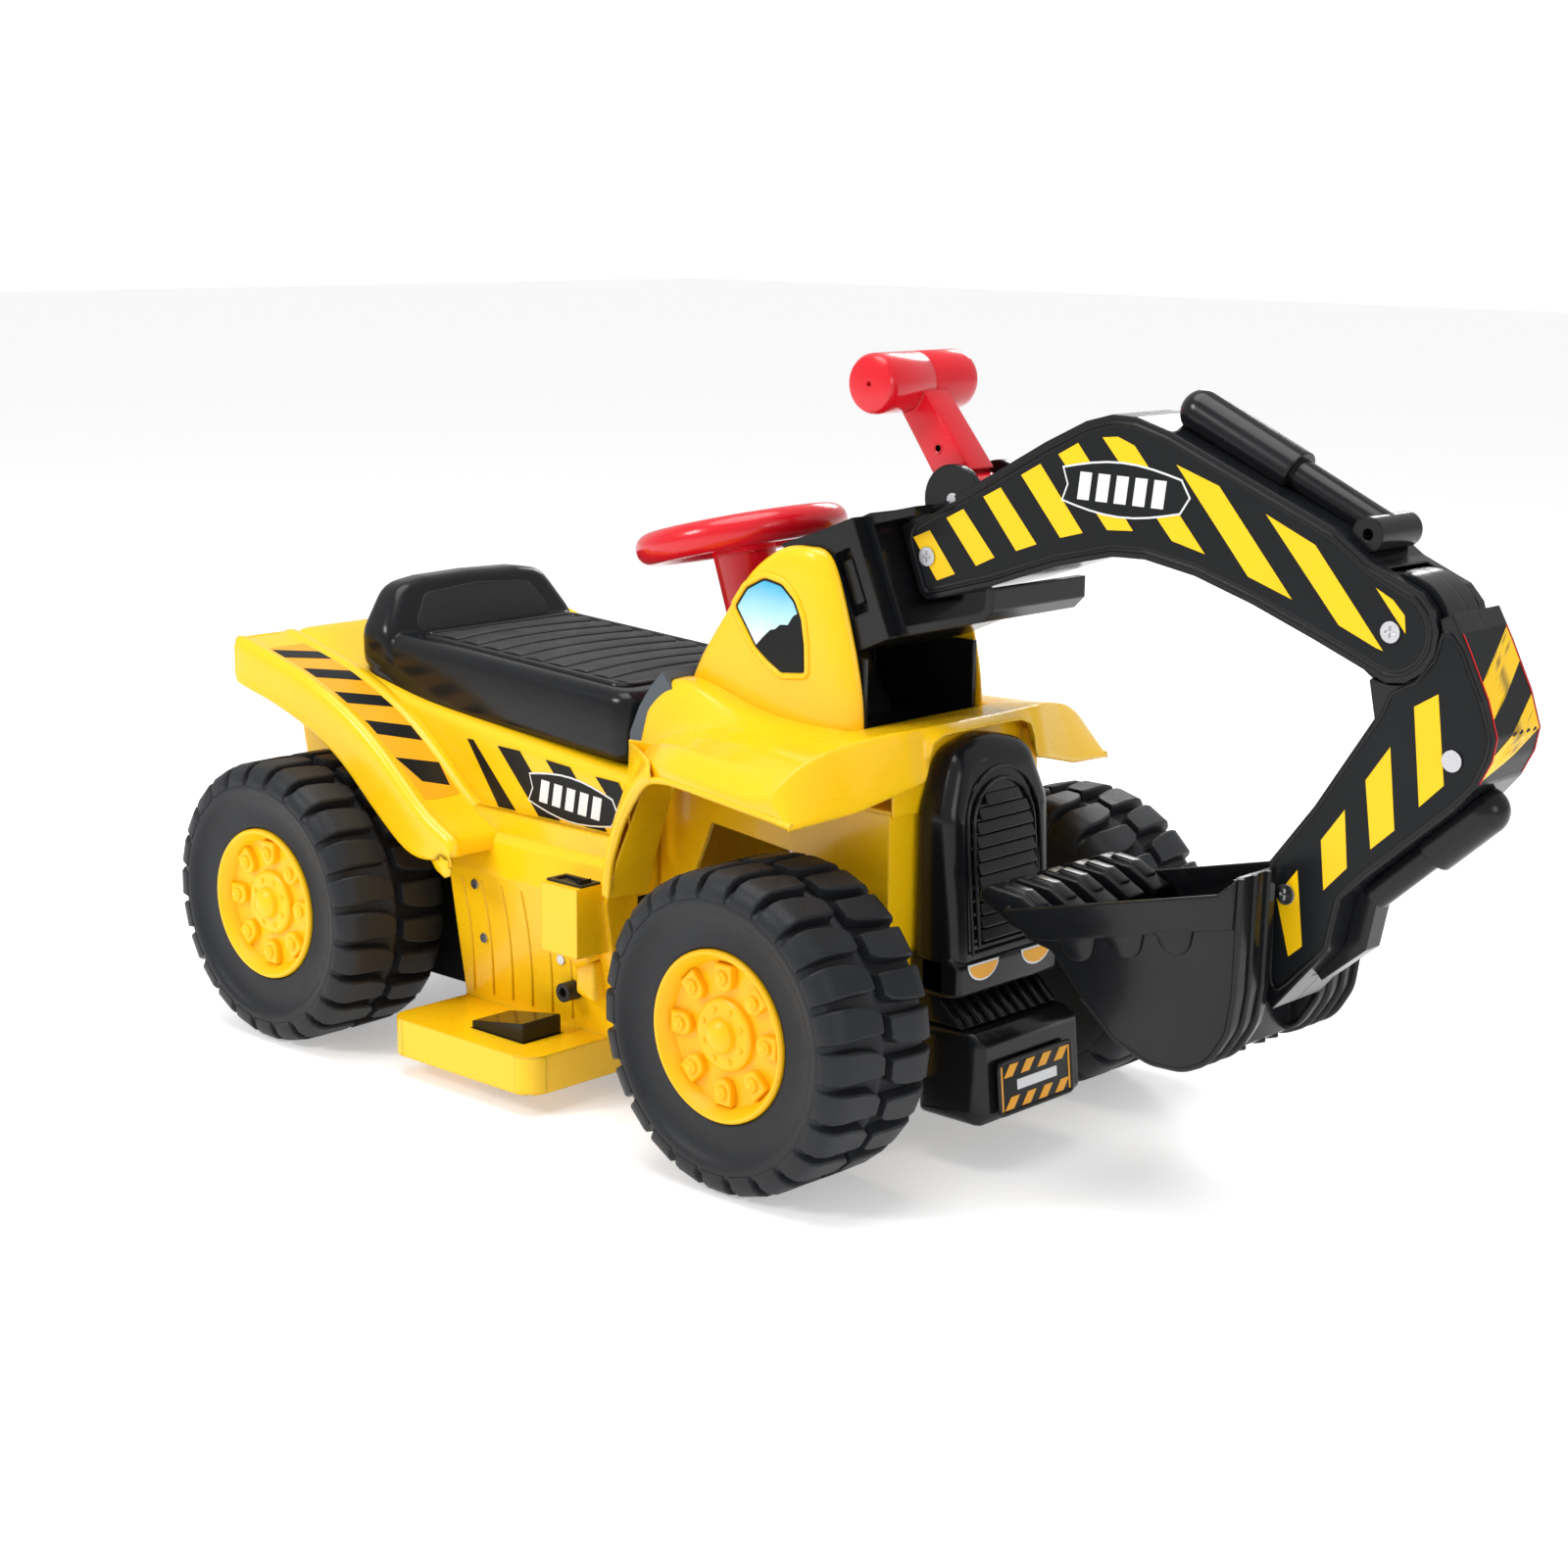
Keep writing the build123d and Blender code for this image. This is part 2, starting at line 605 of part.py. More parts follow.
def dashboard_panel():
    """The grey panel between the seat and the cab, through which the steering column comes up."""
    low = outline([(-104, 206), (-104, 227), (-96, 244), (-86, 258), (-76, 268), (-66, 256), (-74, 236), (-92.5, 206)])
    low_room = outline([(-101, 200), (-101, 226), (-93, 242.5), (-83.5, 256), (-74, 264), (-60, 256), (-60, 200)])
    high = outline([(-91, 252), (-76, 268), (-67, 282), (-49, 296), (-30, 318), (-4, 330), (0, 326), (-28, 311),
                    (-46, 290), (-64, 272), (-66, 256)])
    side = pillar_inner - close_gap
    panel = slab(low, -dash_half, dash_half) - slab(low_room, wall - dash_half, dash_half - wall)
    panel = panel + slab(high, -side, side)
    return panel - steering_axis(column_radius + running_clearance, -300, 50)


def steering_axis(radius, from_wheel, to_wheel):
    """A round bar on the leaning steering axis, between two distances from the wheel's centre."""
    bar = Pos(0, 0, (from_wheel + to_wheel) / 2) * Cylinder(radius, to_wheel - from_wheel)
    return Pos(wheel_centre[0], 0, wheel_centre[1]) * Rot(0, -column_lean, 0) * bar


export("dashboard_panel", dashboard_panel())


def front_grille():
    """The black radiator cover: a round-topped hood on the nose, with a slatted arch in its front."""
    side = outline([(well_front_x, 100), (well_front_x, 238), (98, 245), (110, 244), (117, 232), (126, 160), (128, 128),
                    (128, 100)])
    room = outline([(80, 96), (80, 233), (99, 242), (108, 240), (114, 230), (123, 160), (125, 128), (125, 96)])
    cover = slab(side, -grille_half_width, grille_half_width)
    front = section(outline([(-grille_half_width, 90), (-grille_half_width, 205), (-34, 238), (0, 246), (34, 238),
                             (grille_half_width, 205), (grille_half_width, 90)]), 80, 140)
    inner = section(outline([(3 - grille_half_width, 80), (3 - grille_half_width, 204), (-32, 235.5), (0, 243),
                             (32, 235.5), (grille_half_width - 3, 204), (grille_half_width - 3, 80)]), 80, 140)
    cover = (cover & front) - (slab(room, -60, 60) & inner)
    slats = []
    for index in range(11):
        height = 136 + 8.2 * index
        slot = Pos(127.5 - 0.155 * (height - 136), 0, height) * Box(5, 44, 4.2)
        slats.append(slot)
    return cover - slats


grille = front_grille()
export("front_grille", grille)


def front_bumper():
    """The black lower nose: the lamp band, the slanted ribbed panel and the deep bumper under it."""
    side = outline([(well_front_x, 30), (well_front_x, 100 - close_gap), (128, 100 - close_gap), (113, 99), (131, 83),
                    (143, 80), (150, 74), (154, 32), (149, 26), (100, 26)])
    room = outline([(80, 32), (80, 95), (109, 95), (109, 98), (128, 80.5), (142, 77), (147, 73), (151, 33), (148, 29),
                    (101, 29), (92, 32)])
    body = slab(side, -grille_half_width, grille_half_width)
    body = body - slab(room, 3 - grille_half_width, grille_half_width - 3)
    plate = Pos(152.6, 0, 52) * Rot(0, -5.4, 0) * Box(4, 62, 30)
    ribs = []
    for index in range(9):
        ribs.append(Pos(122.6, -36 + 9 * index, 91.6) * Rot(0, 41.6, 0) * Box(22, 2.4, 3))
    return body - plate + ribs


export("front_bumper", front_bumper())


# ---- front axle and steering -------------------------------------------------------------------------
fork_low_z = (60.0, 68.0)
fork_high_z = (117.0, 125.0)
kingpin_radius = 3.0
knuckle_arm = 45.0
column_arm = 30.0
tie_pin_radius = 3.0
tie_z = (61.0, 66.0)
tie_x = front_axle_x - knuckle_arm


def axle_beam():
    """The cross member that carries both kingpins, standing on the tray of the pan."""
    web = block(front_axle_x - 12, front_axle_x + 12, -55, 55, pan_floor_z + wall, fork_high_z[1])
    web = web - block(front_axle_x - 9, front_axle_x + 9, -52, 52, pan_floor_z, fork_high_z[1] - wall)
    web = web - block(front_axle_x - 20, front_axle_x + 20, -46, 46, 55, fork_high_z[0])
    beam = web
    for low, high in (fork_low_z, fork_high_z):
        beam = beam + block(front_axle_x - 10, front_axle_x + 10, -kingpin_y, kingpin_y, low, high)
    for side in (-1, 1):
        for low, high in (fork_low_z, fork_high_z):
            beam = beam + post(front_axle_x, side * kingpin_y, 10, low, high)
        beam = beam - post(front_axle_x, side * kingpin_y, kingpin_radius, 0, 200)
    for low, high in (fork_low_z, fork_high_z):
        beam = beam - block(front_axle_x - 9, front_axle_x + 9, -50, 50, low - 1, high - wall)
    return beam


export("axle_beam", axle_beam())
kingpin = post(front_axle_x, kingpin_y, kingpin_radius, fork_low_z[0], fork_high_z[1])
kingpin = kingpin + post(front_axle_x, kingpin_y, 5, fork_high_z[1], fork_high_z[1] + 2.5)
export("fixed_pins", kingpin, other_side(kingpin), pedal_pin, spindle)


def knuckle():
    """The left steering knuckle: a barrel on the kingpin, a stub axle outwards and an arm to the rear."""
    low, high = fork_low_z[1] + close_gap, fork_high_z[0] - close_gap
    barrel = post(front_axle_x, kingpin_y, 9, low, high)
    stub = round_bar((front_axle_x, axle_z), axle_radius, kingpin_y, axle_end_y)
    arm = block(tie_x, front_axle_x, kingpin_y - 5, kingpin_y + 5, low, low + 8)
    arm = arm + post(tie_x, kingpin_y, 5, low, low + 8)
    peg = post(tie_x, kingpin_y, tie_pin_radius, tie_z[0] - 3, low + 1)
    return barrel + stub + arm + peg - post(front_axle_x, kingpin_y, kingpin_radius + running_clearance, 0, 200)


left_knuckle = knuckle()
export("knuckle_left", left_knuckle)
export("knuckle_right", other_side(left_knuckle))
front_nut = Pos(front_axle_x, tyre_inner_y, axle_z) * nut_shape
export("front_axle_nut_left", front_nut)
export("front_axle_nut_right", other_side(front_nut))

lean = math.radians(column_lean)
arm_height = 78.0
column_foot = (wheel_centre[0] + (wheel_centre[1] - arm_height) * math.tan(lean), arm_height)
crank_pin = (column_foot[0] - column_arm * math.cos(lean), column_foot[1] - column_arm * math.sin(lean))
tie_middle_z = (tie_z[0] + tie_z[1]) / 2
crank_pin_x = crank_pin[0] + (crank_pin[1] - tie_middle_z) * math.tan(lean)
slot_side = 0.6


def tie_rod():
    """The flat link between the knuckle arms, with a tongue to the rear for the column's crank."""
    bar = block(tie_x - 8, tie_x + 8, -kingpin_y, kingpin_y, *tie_z)
    tongue = block(crank_pin_x - 14, tie_x, -12, 12, *tie_z)
    plate = bar + tongue
    for side in (-1, 1):
        plate = plate + post(tie_x, side * kingpin_y, 8, *tie_z)
        slot = Pos(tie_x, side * kingpin_y) * RectangleRounded(
            2 * tie_pin_radius + 4.4, 2 * (tie_pin_radius + slot_side), tie_pin_radius)
        plate = plate - layer(slot, 0, 100)
    slot = Pos(crank_pin_x, 0) * RectangleRounded(
        2 * tie_pin_radius + 9.0, 2 * (tie_pin_radius + slot_side), tie_pin_radius)
    return plate - layer(slot, 0, 100)


export("tie_rod", tie_rod())


def steering_column():
    """The steel rod from the wheel down to its crank, whose pin works the tie rod."""
    length = (wheel_centre[1] - arm_height) / math.cos(lean)
    rod = steering_axis(column_radius, -length - 4, -8)
    frame = Pos(wheel_centre[0], 0, wheel_centre[1]) * Rot(0, -column_lean, 0) * Pos(0, 0, -length)
    arm = Pos(-column_arm / 2, 0, 0) * Box(column_arm, 10, 6)
    pin = Pos(-column_arm, 0, -8) * Cylinder(tie_pin_radius, 20)
    boss = Pos(-column_arm, 0, 0) * Cylinder(5, 6)
    return rod + frame * (arm + pin + boss)


export("steering_column", steering_column())


def column_bracket():
    """The bearing plate that holds the column's foot, standing on the pan."""
    plate = block(-44, -8, -36, 36, 104, 110)
    legs = block(-40, -12, 30, 36, pan_floor_z + wall, 105) + block(-40, -12, -36, -30, pan_floor_z + wall, 105)
    return plate + legs - steering_axis(column_radius + running_clearance, -300, 0)


export("column_bracket", column_bracket())


def steering_wheel():
    """The red rim, its three spokes and the tapered neck that goes down to the dashboard."""
    rim = Torus(56, 10)
    hub = Pos(0, 0, -4) * Cylinder(20, 16)
    cross_spoke = Rot(0, 0, 90) * Box(2 * 52, 16, 9)
    rear_spoke = Pos(-26, 0, 0) * Box(52, 18, 9)
    neck = Pos(0, 0, -30) * Cone(17, 20, 44)
    wheel = rim + hub + (cross_spoke + rear_spoke) + neck
    wheel = wheel - Pos(0, 0, -34) * Cylinder(column_radius, 52)
    return Pos(wheel_centre[0], 0, wheel_centre[1]) * Rot(0, -column_lean, 0) * wheel


export("steering_wheel", steering_wheel())


# ---- arm mount ---------------------------------------------------------------------------------------
seam_top = (47.0, 368.0)
seam_bottom = (76.0, 302.0)
seam_angle = math.degrees(math.atan2(seam_top[1] - seam_bottom[1], seam_top[0] - seam_bottom[0]))
holder_plate = 6.0
mount_half_width = pillar_inner - close_gap
holder_half_width = 42.0
forward = along((0, 0), seam_angle - 90, 1)


def shifted(place, distance):
    """A point moved forward, square to the seam between the mount and the arm holder."""
    return (place[0] + forward[0] * distance, place[1] + forward[1] * distance)


def arm_mount():
    """The fixed black block between the cab pillars, with a latch pocket in each side."""
    side = outline([(-8, 348), (19, 357), seam_top, seam_bottom, (48, 290), (30, 300), (12, 330)])
    body = slab(side, -mount_half_width, mount_half_width)
    body = body - slab(inset(side, 3.0), 9 - mount_half_width, mount_half_width - 9)
    middle = (47.0, 331.0)
    pocket = outline([along(along(middle, seam_angle, up), seam_angle - 90, out)
                      for up, out in ((-19, -7), (19, -7), (19, 7), (-19, 7))], 2)
    for side_sign in (-1, 1):
        face_y = side_sign * mount_half_width
        low, high = sorted((face_y, face_y - side_sign * 6))
        body = body - slab(pocket, low, high)
        latch = outline([along(along(middle, seam_angle, up), seam_angle - 90, out)
                         for up, out in ((-13, -4), (13, -4), (13, 4), (-13, 4))], 2)
        low, high = sorted((face_y - side_sign * 2, face_y - side_sign * 6.5))
        body = body + slab(latch, low, high)
    return body


export("arm_mount", arm_mount())


def arm_tray():
    """The black open-fronted box between the pillars, under the arm mount."""
    side = mount_half_width
    box = block(-22, 58, -side, side, 241, 288)
    box = box - block(-19, 60, wall - side, side - wall, 244, 289)
    ramp = slab(outline([(-19, 243), (20, 243), (-4, 284), (-19, 284)]), -20, 20)
    return box + ramp - steering_axis(30, -200, -40)


export("arm_tray", arm_tray())


def arm_holder():
    """The black cradle on the seam: back plate, top flange, lower lip and the lug for the boom's pin."""
    plate = outline([seam_top, shifted(seam_top, holder_plate), shifted(seam_bottom, holder_plate), seam_bottom])
    flange = outline([seam_top, (86, 377), (86, 372), (50.5, 363)])
    lip = outline([seam_bottom, (136, 317), (143, 324), (143, 336), (138, 336), (137, 325), (133, 322), (78, 308),
                   shifted(seam_bottom, 1)])
    width = holder_half_width
    body = slab(plate, -width, width) + slab(flange, -width, width) + slab(lip, -width, width)
    notch_width = boom_half_width + 2
    body = body - block(59.5, 100, -notch_width, notch_width, 366, 400)
    lug = outline([shifted((52, 357), 3), (78, 361), (94, 354), (94, 340), (80, 334), shifted((69, 318), 3)])
    lug_solid = slab(lug, -lug_half_width, lug_half_width)
    return body + lug_solid - round_bar(boom_pivot, pin_radius + running_clearance, -50, 50)


export("arm_holder", arm_holder())


# ---- boom --------------------------------------------------------------------------------------------
def boom_outline():
    """The bent boom in side view, with a round end about the stick's pin."""
    return outline(
        [
            (62, 363), (116, 391), (163, 417), (190, 430), (207, 434.5), (223, 434), (244, 428), (346, 386),
            (368, 371), along(stick_pivot, 80, lobe_radius), along(stick_pivot, 55, lobe_radius),
            along(stick_pivot, 30, lobe_radius), along(stick_pivot, 5, lobe_radius),
            along(stick_pivot, -20, lobe_radius), along(stick_pivot, -45, lobe_radius),
            along(stick_pivot, -70, lobe_radius), along(stick_pivot, -95, lobe_radius), (365, 318), (337, 329),
            (299, 343), (263, 354), (231, 359.5), (210, 359), (172, 350), (129, 335), (82, 322), (76, 326),
        ]
    )


boom_side = boom_outline()
boom_wall = 3.0
lever_slot_half = 18.5


def boom_half():
    """The left half of the hollow boom, with its ear for the lever and the slots at both ends."""
    half = slab(boom_side, 0, boom_half_width)
    ear = round_bar(lever_pivot, 20, lever_slot_half, boom_half_width - 2)
    ear = ear - slab(inset(boom_side, boom_wall), 0, boom_half_width)
    half = half + ear
    half = half - slab(inset(boom_side, boom_wall), -1, boom_half_width - boom_wall)
    half = half - slab(outline([(50, 312), (50, 380), (79, 380), (79, 312)]), -1, lug_half_width + 1.5)
    half = half - slab(outline([(72, 340), (72, 420), (124, 420), (124, 340)]), -1, lever_slot_half)
    drum_room = drum_radius + 2
    half = half - round_bar(stick_pivot, drum_room, -1, drum_half_width + 1)
    half = half - slab(outline([stick_pivot, along(stick_pivot, 100, 60), along(stick_pivot, 20, 60)]), -1, 18.5)
    for place in (boom_pivot, stick_pivot):
        half = half + round_bar(place, 8, boom_half_width - 7, boom_half_width - 1)
    for place in (boom_pivot, stick_pivot, lever_pivot):
        half = half - round_bar(place, pin_radius, 0, 60)
    return half


left_boom = boom_half()
export("boom_half_left", left_boom)
export("boom_half_right", other_side(left_boom))


def pivot_pin(place, half_length):
    """A steel pin across the arm with a round head and a cross slot on its right end."""
    pin = round_bar(place, pin_radius, -half_length, half_length)
    pin = pin + round_bar(place, 5.5, -half_length - 1.6, -half_length)
    cut = Box(6, 1.2, 1.2) + Box(1.2, 1.2, 6)
    return pin - Pos(place[0], -half_length - 1.4, place[1]) * cut


lever_pin = round_bar(lever_pivot, pin_radius, 2 - boom_half_width, boom_half_width - 2)
export("boom_pins", pivot_pin(boom_pivot, boom_half_width), pivot_pin(stick_pivot, boom_half_width), lever_pin)

cylinder_rear = (244.0, 438.0)
cylinder_eye = (361.0, 384.0)
cylinder_turn = math.degrees(math.atan2(cylinder_eye[1] - cylinder_rear[1], cylinder_eye[0] - cylinder_rear[0]))


def boom_cylinder():
    """The fixed imitation ram on the boom: a domed tube, a thinner rod and a cross eye."""
    length = math.dist(cylinder_rear, cylinder_eye)
    tube = Pos(0, 0, 37) * Cylinder(12.5, 66) + Pos(0, 0, 4) * Sphere(12.5)
    rod = Pos(0, 0, length / 2 + 30) * Cylinder(9, length - 60)
    ram = Pos(cylinder_rear[0], 0, cylinder_rear[1]) * Rot(0, 90 - cylinder_turn, 0) * (tube + rod)
    ram = ram + round_bar(cylinder_eye, 9, -19, 19)
    ram = ram - round_bar(cylinder_eye, 3, -30, 30)
    return ram - slab(boom_side, -60, 60)


export("boom_cylinder", boom_cylinder())


# ---- lever and control rod ---------------------------------------------------------------------------
def lever_half():
    """The left half of the red T-handle: grip, flat arm, hub and the short crank inside the boom."""
    direction = math.degrees(math.atan2(grip_centre[1] - lever_pivot[1], grip_centre[0] - lever_pivot[0]))
    arm = outline(
        [along(lever_pivot, direction - 90, 13), along(grip_centre, direction - 90, 11),
         along(grip_centre, direction + 90, 11), along(lever_pivot, direction + 90, 13)]
    )
    crank_end = along(lever_pivot, -90, crank_radius)
    crank = outline([along(crank_end, 180, 5), along(crank_end, -90, 5), along(crank_end, 0, 5),
                     along(lever_pivot, 0, 10), along(lever_pivot, 180, 10)])
    solid_arm = slab(arm, 0, lever_half_width) + round_bar(lever_pivot, 14, 0, lever_half_width)
    room = slab(inset(arm, 3), -1, lever_half_width - 3)
    room = room - round_bar(lever_pivot, 12, -2, 20)
    grip = round_bar(grip_centre, grip_radius, 0, grip_half_length)
    grip = grip - round_bar(grip_centre, grip_radius - 3, -1, grip_half_length - 3)
    grip = grip - round_bar(grip_centre, 1.5, 0, 60)
    half = (solid_arm - room + slab(crank, 0, lever_half_width)) - round_bar(grip_centre, grip_radius - 3, -1, 37)
    half = half + grip
    return half - round_bar(lever_pivot, pin_radius + running_clearance, -1, 60), crank_end


left_lever, lever_crank_end = lever_half()
peg_radius = 2.5
rod_y = (12.6, 16.6)
export("lever_half_right", other_side(left_lever))
export("lever_half_left", left_lever + round_bar(lever_crank_end, peg_radius, 10, rod_y[1] + 1))

stick_crank_end = along(stick_pivot, -90, crank_radius)


def control_rod():
    """The bent steel link inside the boom, from the lever's crank to the stick's drum."""
    path = [lever_crank_end, (140, 379), (207, 400), (300, 370), (342, 338), stick_crank_end]
    link = None
    for start, end in zip(path, path[1:]):
        turn = math.degrees(math.atan2(end[1] - start[1], end[0] - start[0]))
        bar = slab(outline([along(start, turn + 90, 3.5), along(end, turn + 90, 3.5), along(end, turn - 90, 3.5),
                            along(start, turn - 90, 3.5)]), *rod_y)
        bar = bar + round_bar(start, 3.5, *rod_y)
        link = bar if link is None else link + bar
    for place in (lever_crank_end, stick_crank_end):
        link = link + round_bar(place, 5, *rod_y)
        link = link - round_bar(place, peg_radius + running_clearance, 0, 60)
    return link


export("control_rod", control_rod())


# ---- stick -------------------------------------------------------------------------------------------
stick_corners = [
    (369, 312), (373, 293), (341, 243), (316, 210), (318, 135), (322, 131), (353, 168), (359, 197), (371, 209),
    (420, 253), (431, 266), (438, 280), (440, 292), (434, 310), (422, 334), (413, 350), (403, 345),
]
stick_side = outline(stick_corners)
stick_screw = (418.0, 278.0)


def stick_half(is_left):
    """One half of the hollow stick, with its share of the drum between the boom's ends."""
    half = slab(stick_side, 0, stick_half_width)
    half = half - slab(inset(stick_side, 3.0) & outline([(0, 0), (0, 300), (500, 300), (500, 0)]), -1,
                       stick_half_width - 3)
    half = half - round_bar(stick_pivot, lobe_radius + 1, -1, 60)
    neck = slab(stick_side & outline([(360, 296), (360, 360), (450, 360), (450, 296)]), 0, drum_half_width)
    drum_end = rod_y[0] - 1.1 if is_left else drum_half_width
    half = half + round_bar(stick_pivot, drum_radius, 0, drum_end) + (
        neck - round_bar(stick_pivot, drum_radius - 1, drum_end, 60))
    half = half - slab(outline([(300, 150), (300, 232), (338, 232), (338, 150)]), -1, lug_half_width + 1.5)
    half = half + round_bar(bucket_pivot, 8, lug_half_width + 1.5, stick_half_width - 1)
    half = half - round_bar(bucket_pivot, pin_radius, 0, 60)
    half = half - round_bar(stick_pivot, pin_radius + running_clearance, -1, 60)
    return half - round_bar(stick_screw, 2, 0, 60)


left_stick = stick_half(True)
export("stick_half_left", left_stick + round_bar(stick_crank_end, peg_radius, 11, rod_y[1] + 1))
export("stick_half_right", other_side(stick_half(False)))
screw = round_bar(stick_screw, 2, -stick_half_width, stick_half_width)
screw = screw + round_bar(stick_screw, 5.5, -stick_half_width - 1.6, -stick_half_width)
export("stick_pins", pivot_pin(bucket_pivot, stick_half_width), screw)


def stick_cylinder():
    """The fixed imitation ram under the stick, with the flat link at its lower end."""
    start, end = (428.0, 253.0), (366.0, 197.0)
    turn = math.degrees(math.atan2(end[1] - start[1], end[0] - start[0]))
    length = math.dist(start, end)
    tube = Pos(0, 0, 22) * Cylinder(12.5, 36) + Pos(0, 0, 4) * Sphere(12.5)
    rod = Pos(0, 0, length / 2 + 18) * Cylinder(8.5, length - 36)
    ram = Pos(start[0], 0, start[1]) * Rot(0, 90 - turn, 0) * (tube + rod)
    link = slab(outline([(372, 199), (366, 168), (341, 147), (336, 152), (352, 176), (356, 205)]), -7, 7)
    return ram + link - slab(stick_side, -60, 60)


export("stick_cylinder", stick_cylinder())


# ---- bucket ------------------------------------------------------------------------------------------
bucket_wall = 3.0
bucket_back_x = 300.0
bucket_outline = [
    (170, 164), (189, 150), (204, 147), (226, 126), (250, 106), (271, 99), (294, 99.5), (316, 110), (331, 130),
    (336, 150), (337, 213), (307, 198),
]


def bucket():
    """The digging bucket: an open tub with a recess for the stick, a hinge lug and five teeth."""
    side = outline(bucket_outline)
    recess = outline([(bucket_back_x, 60), (bucket_back_x, 260), (360, 260), (360, 60)])
    tub = slab(side, -bucket_half_width, bucket_half_width)
    tub = tub - slab(recess, -recess_half_width, recess_half_width)
    inner_points = [
        (162, 190), (176, 165), (191, 153.5), (205.5, 150), (228, 128.5), (251.5, 109), (271.5, 102), (293.5, 102.5),
        (314, 112.5), (328, 131.5), (333, 151), (334, 260), (162, 260),
    ]
    room = slab(outline(inner_points), bucket_wall - bucket_half_width, bucket_half_width - bucket_wall)
    keep = outline([(bucket_back_x - bucket_wall, 60), (bucket_back_x - bucket_wall, 260), (360, 260), (360, 60)])
    room = room - slab(keep, -recess_half_width - bucket_wall, recess_half_width + bucket_wall)
    tub = tub - room
    lug = outline([(bucket_back_x - 1, 176), (bucket_back_x - 1, 196), (318, 205), (327, 207), (338, 201),
                   (341, 191), (335, 184), (320, 180)])
    tub = tub + slab(lug, -lug_half_width, lug_half_width)
    for index in range(5):
        middle = 25.0 * (index - 2)
        tooth = outline([(194, 146.5), (150, 167), (152, 173), (178, 168), (196, 156)])
        tub = tub + slab(tooth, middle - 6.5, middle + 6.5)
    return tub - round_bar(bucket_pivot, pin_radius + running_clearance, -50, 50)


export("bucket", bucket())
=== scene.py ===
import json
import math

import bmesh
import bpy
from mathutils import Matrix, Vector


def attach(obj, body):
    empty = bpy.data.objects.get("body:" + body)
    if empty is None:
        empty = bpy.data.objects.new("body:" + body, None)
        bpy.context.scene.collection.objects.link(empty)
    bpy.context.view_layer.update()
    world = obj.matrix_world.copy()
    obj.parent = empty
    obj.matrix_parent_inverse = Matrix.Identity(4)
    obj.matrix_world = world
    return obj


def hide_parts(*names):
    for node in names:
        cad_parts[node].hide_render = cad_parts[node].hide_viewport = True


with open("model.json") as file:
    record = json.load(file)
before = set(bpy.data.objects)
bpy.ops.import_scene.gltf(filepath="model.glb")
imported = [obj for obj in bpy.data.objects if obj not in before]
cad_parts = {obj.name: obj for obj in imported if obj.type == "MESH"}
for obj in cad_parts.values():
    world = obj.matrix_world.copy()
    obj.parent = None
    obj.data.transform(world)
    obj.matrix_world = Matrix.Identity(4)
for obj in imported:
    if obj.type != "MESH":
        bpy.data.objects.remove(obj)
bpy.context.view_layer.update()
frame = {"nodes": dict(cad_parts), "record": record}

# Shapes are written in millimetres, in the frame's own axes: +X forward, +Y the driver's left, +Z up.
MM = 0.001
REAR_AXLE = (-347.5, 92.5)
FRONT_AXLE = (63.5, 92.5)
TYRE_INNER_Y = 94.4


# ---- finishes ----------------------------------------------------------------------------------------
def effect_group(name, inputs, outputs):
    """An empty shader node group with named sockets, and its input and output nodes."""
    group = bpy.data.node_groups.new(name, "ShaderNodeTree")
    for label, kind, value in inputs:
        socket = group.interface.new_socket(name=label, in_out="INPUT", socket_type=kind)
        if value is not None:
            socket.default_value = value
    for label, kind in outputs:
        group.interface.new_socket(name=label, in_out="OUTPUT", socket_type=kind)
    return group, group.nodes.new("NodeGroupInput"), group.nodes.new("NodeGroupOutput")


def added(tree, kind, inputs, **settings):
    """A new node with its settings. Each input is given a socket to link or a plain value."""
    node = tree.nodes.new(kind)
    for label, value in settings.items():
        setattr(node, label, value)
    for label, value in inputs.items():
        if isinstance(value, bpy.types.NodeSocket):
            tree.links.new(value, node.inputs[label])
        else:
            node.inputs[label].default_value = value
    return node


def noise(tree, vector, scale, detail=3.0, roughness=0.5):
    values = {"Vector": vector, "Scale": scale, "Detail": detail, "Roughness": roughness}
    return added(tree, "ShaderNodeTexNoise", values).outputs["Fac"]


def stretched(tree, value, low, high):
    """The value's range from low to high, stretched to run from 0 to 1."""
    values = {"Value": value, "From Min": low, "From Max": high}
    return added(tree, "ShaderNodeMapRange", values).outputs["Result"]


def combined(tree, kind, first, second):
    return added(tree, "ShaderNodeMath", {0: first, 1: second}, operation=kind).outputs[0]


def make_uneven_tone():
    """Slow drifts of tone that a large moulding shows, as a mask from 0 to 1."""
    group, given, result = effect_group(
        "uneven_tone", [("Vector", "NodeSocketVector", None), ("Scale", "NodeSocketFloat", 9.0)],
        [("Mask", "NodeSocketFloat")])
    value = noise(group, given.outputs["Vector"], given.outputs["Scale"], 2.0)
    group.links.new(stretched(group, value, 0.32, 0.68), result.inputs["Mask"])
    return group


def make_mould_grain():
    """The fine spark-eroded grain of a plastic tool face, as a height."""
    group, given, result = effect_group(
        "mould_grain", [("Vector", "NodeSocketVector", None), ("Scale", "NodeSocketFloat", 900.0)],
        [("Height", "NodeSocketFloat")])
    coarse = noise(group, given.outputs["Vector"], given.outputs["Scale"], 2.0, 0.6)
    cells = added(group, "ShaderNodeTexVoronoi", {"Vector": given.outputs["Vector"],
                                                  "Scale": given.outputs["Scale"]})
    height = combined(group, "ADD", coarse, combined(group, "MULTIPLY", cells.outputs["Distance"], 0.6))
    group.links.new(height, result.inputs["Height"])
    return group


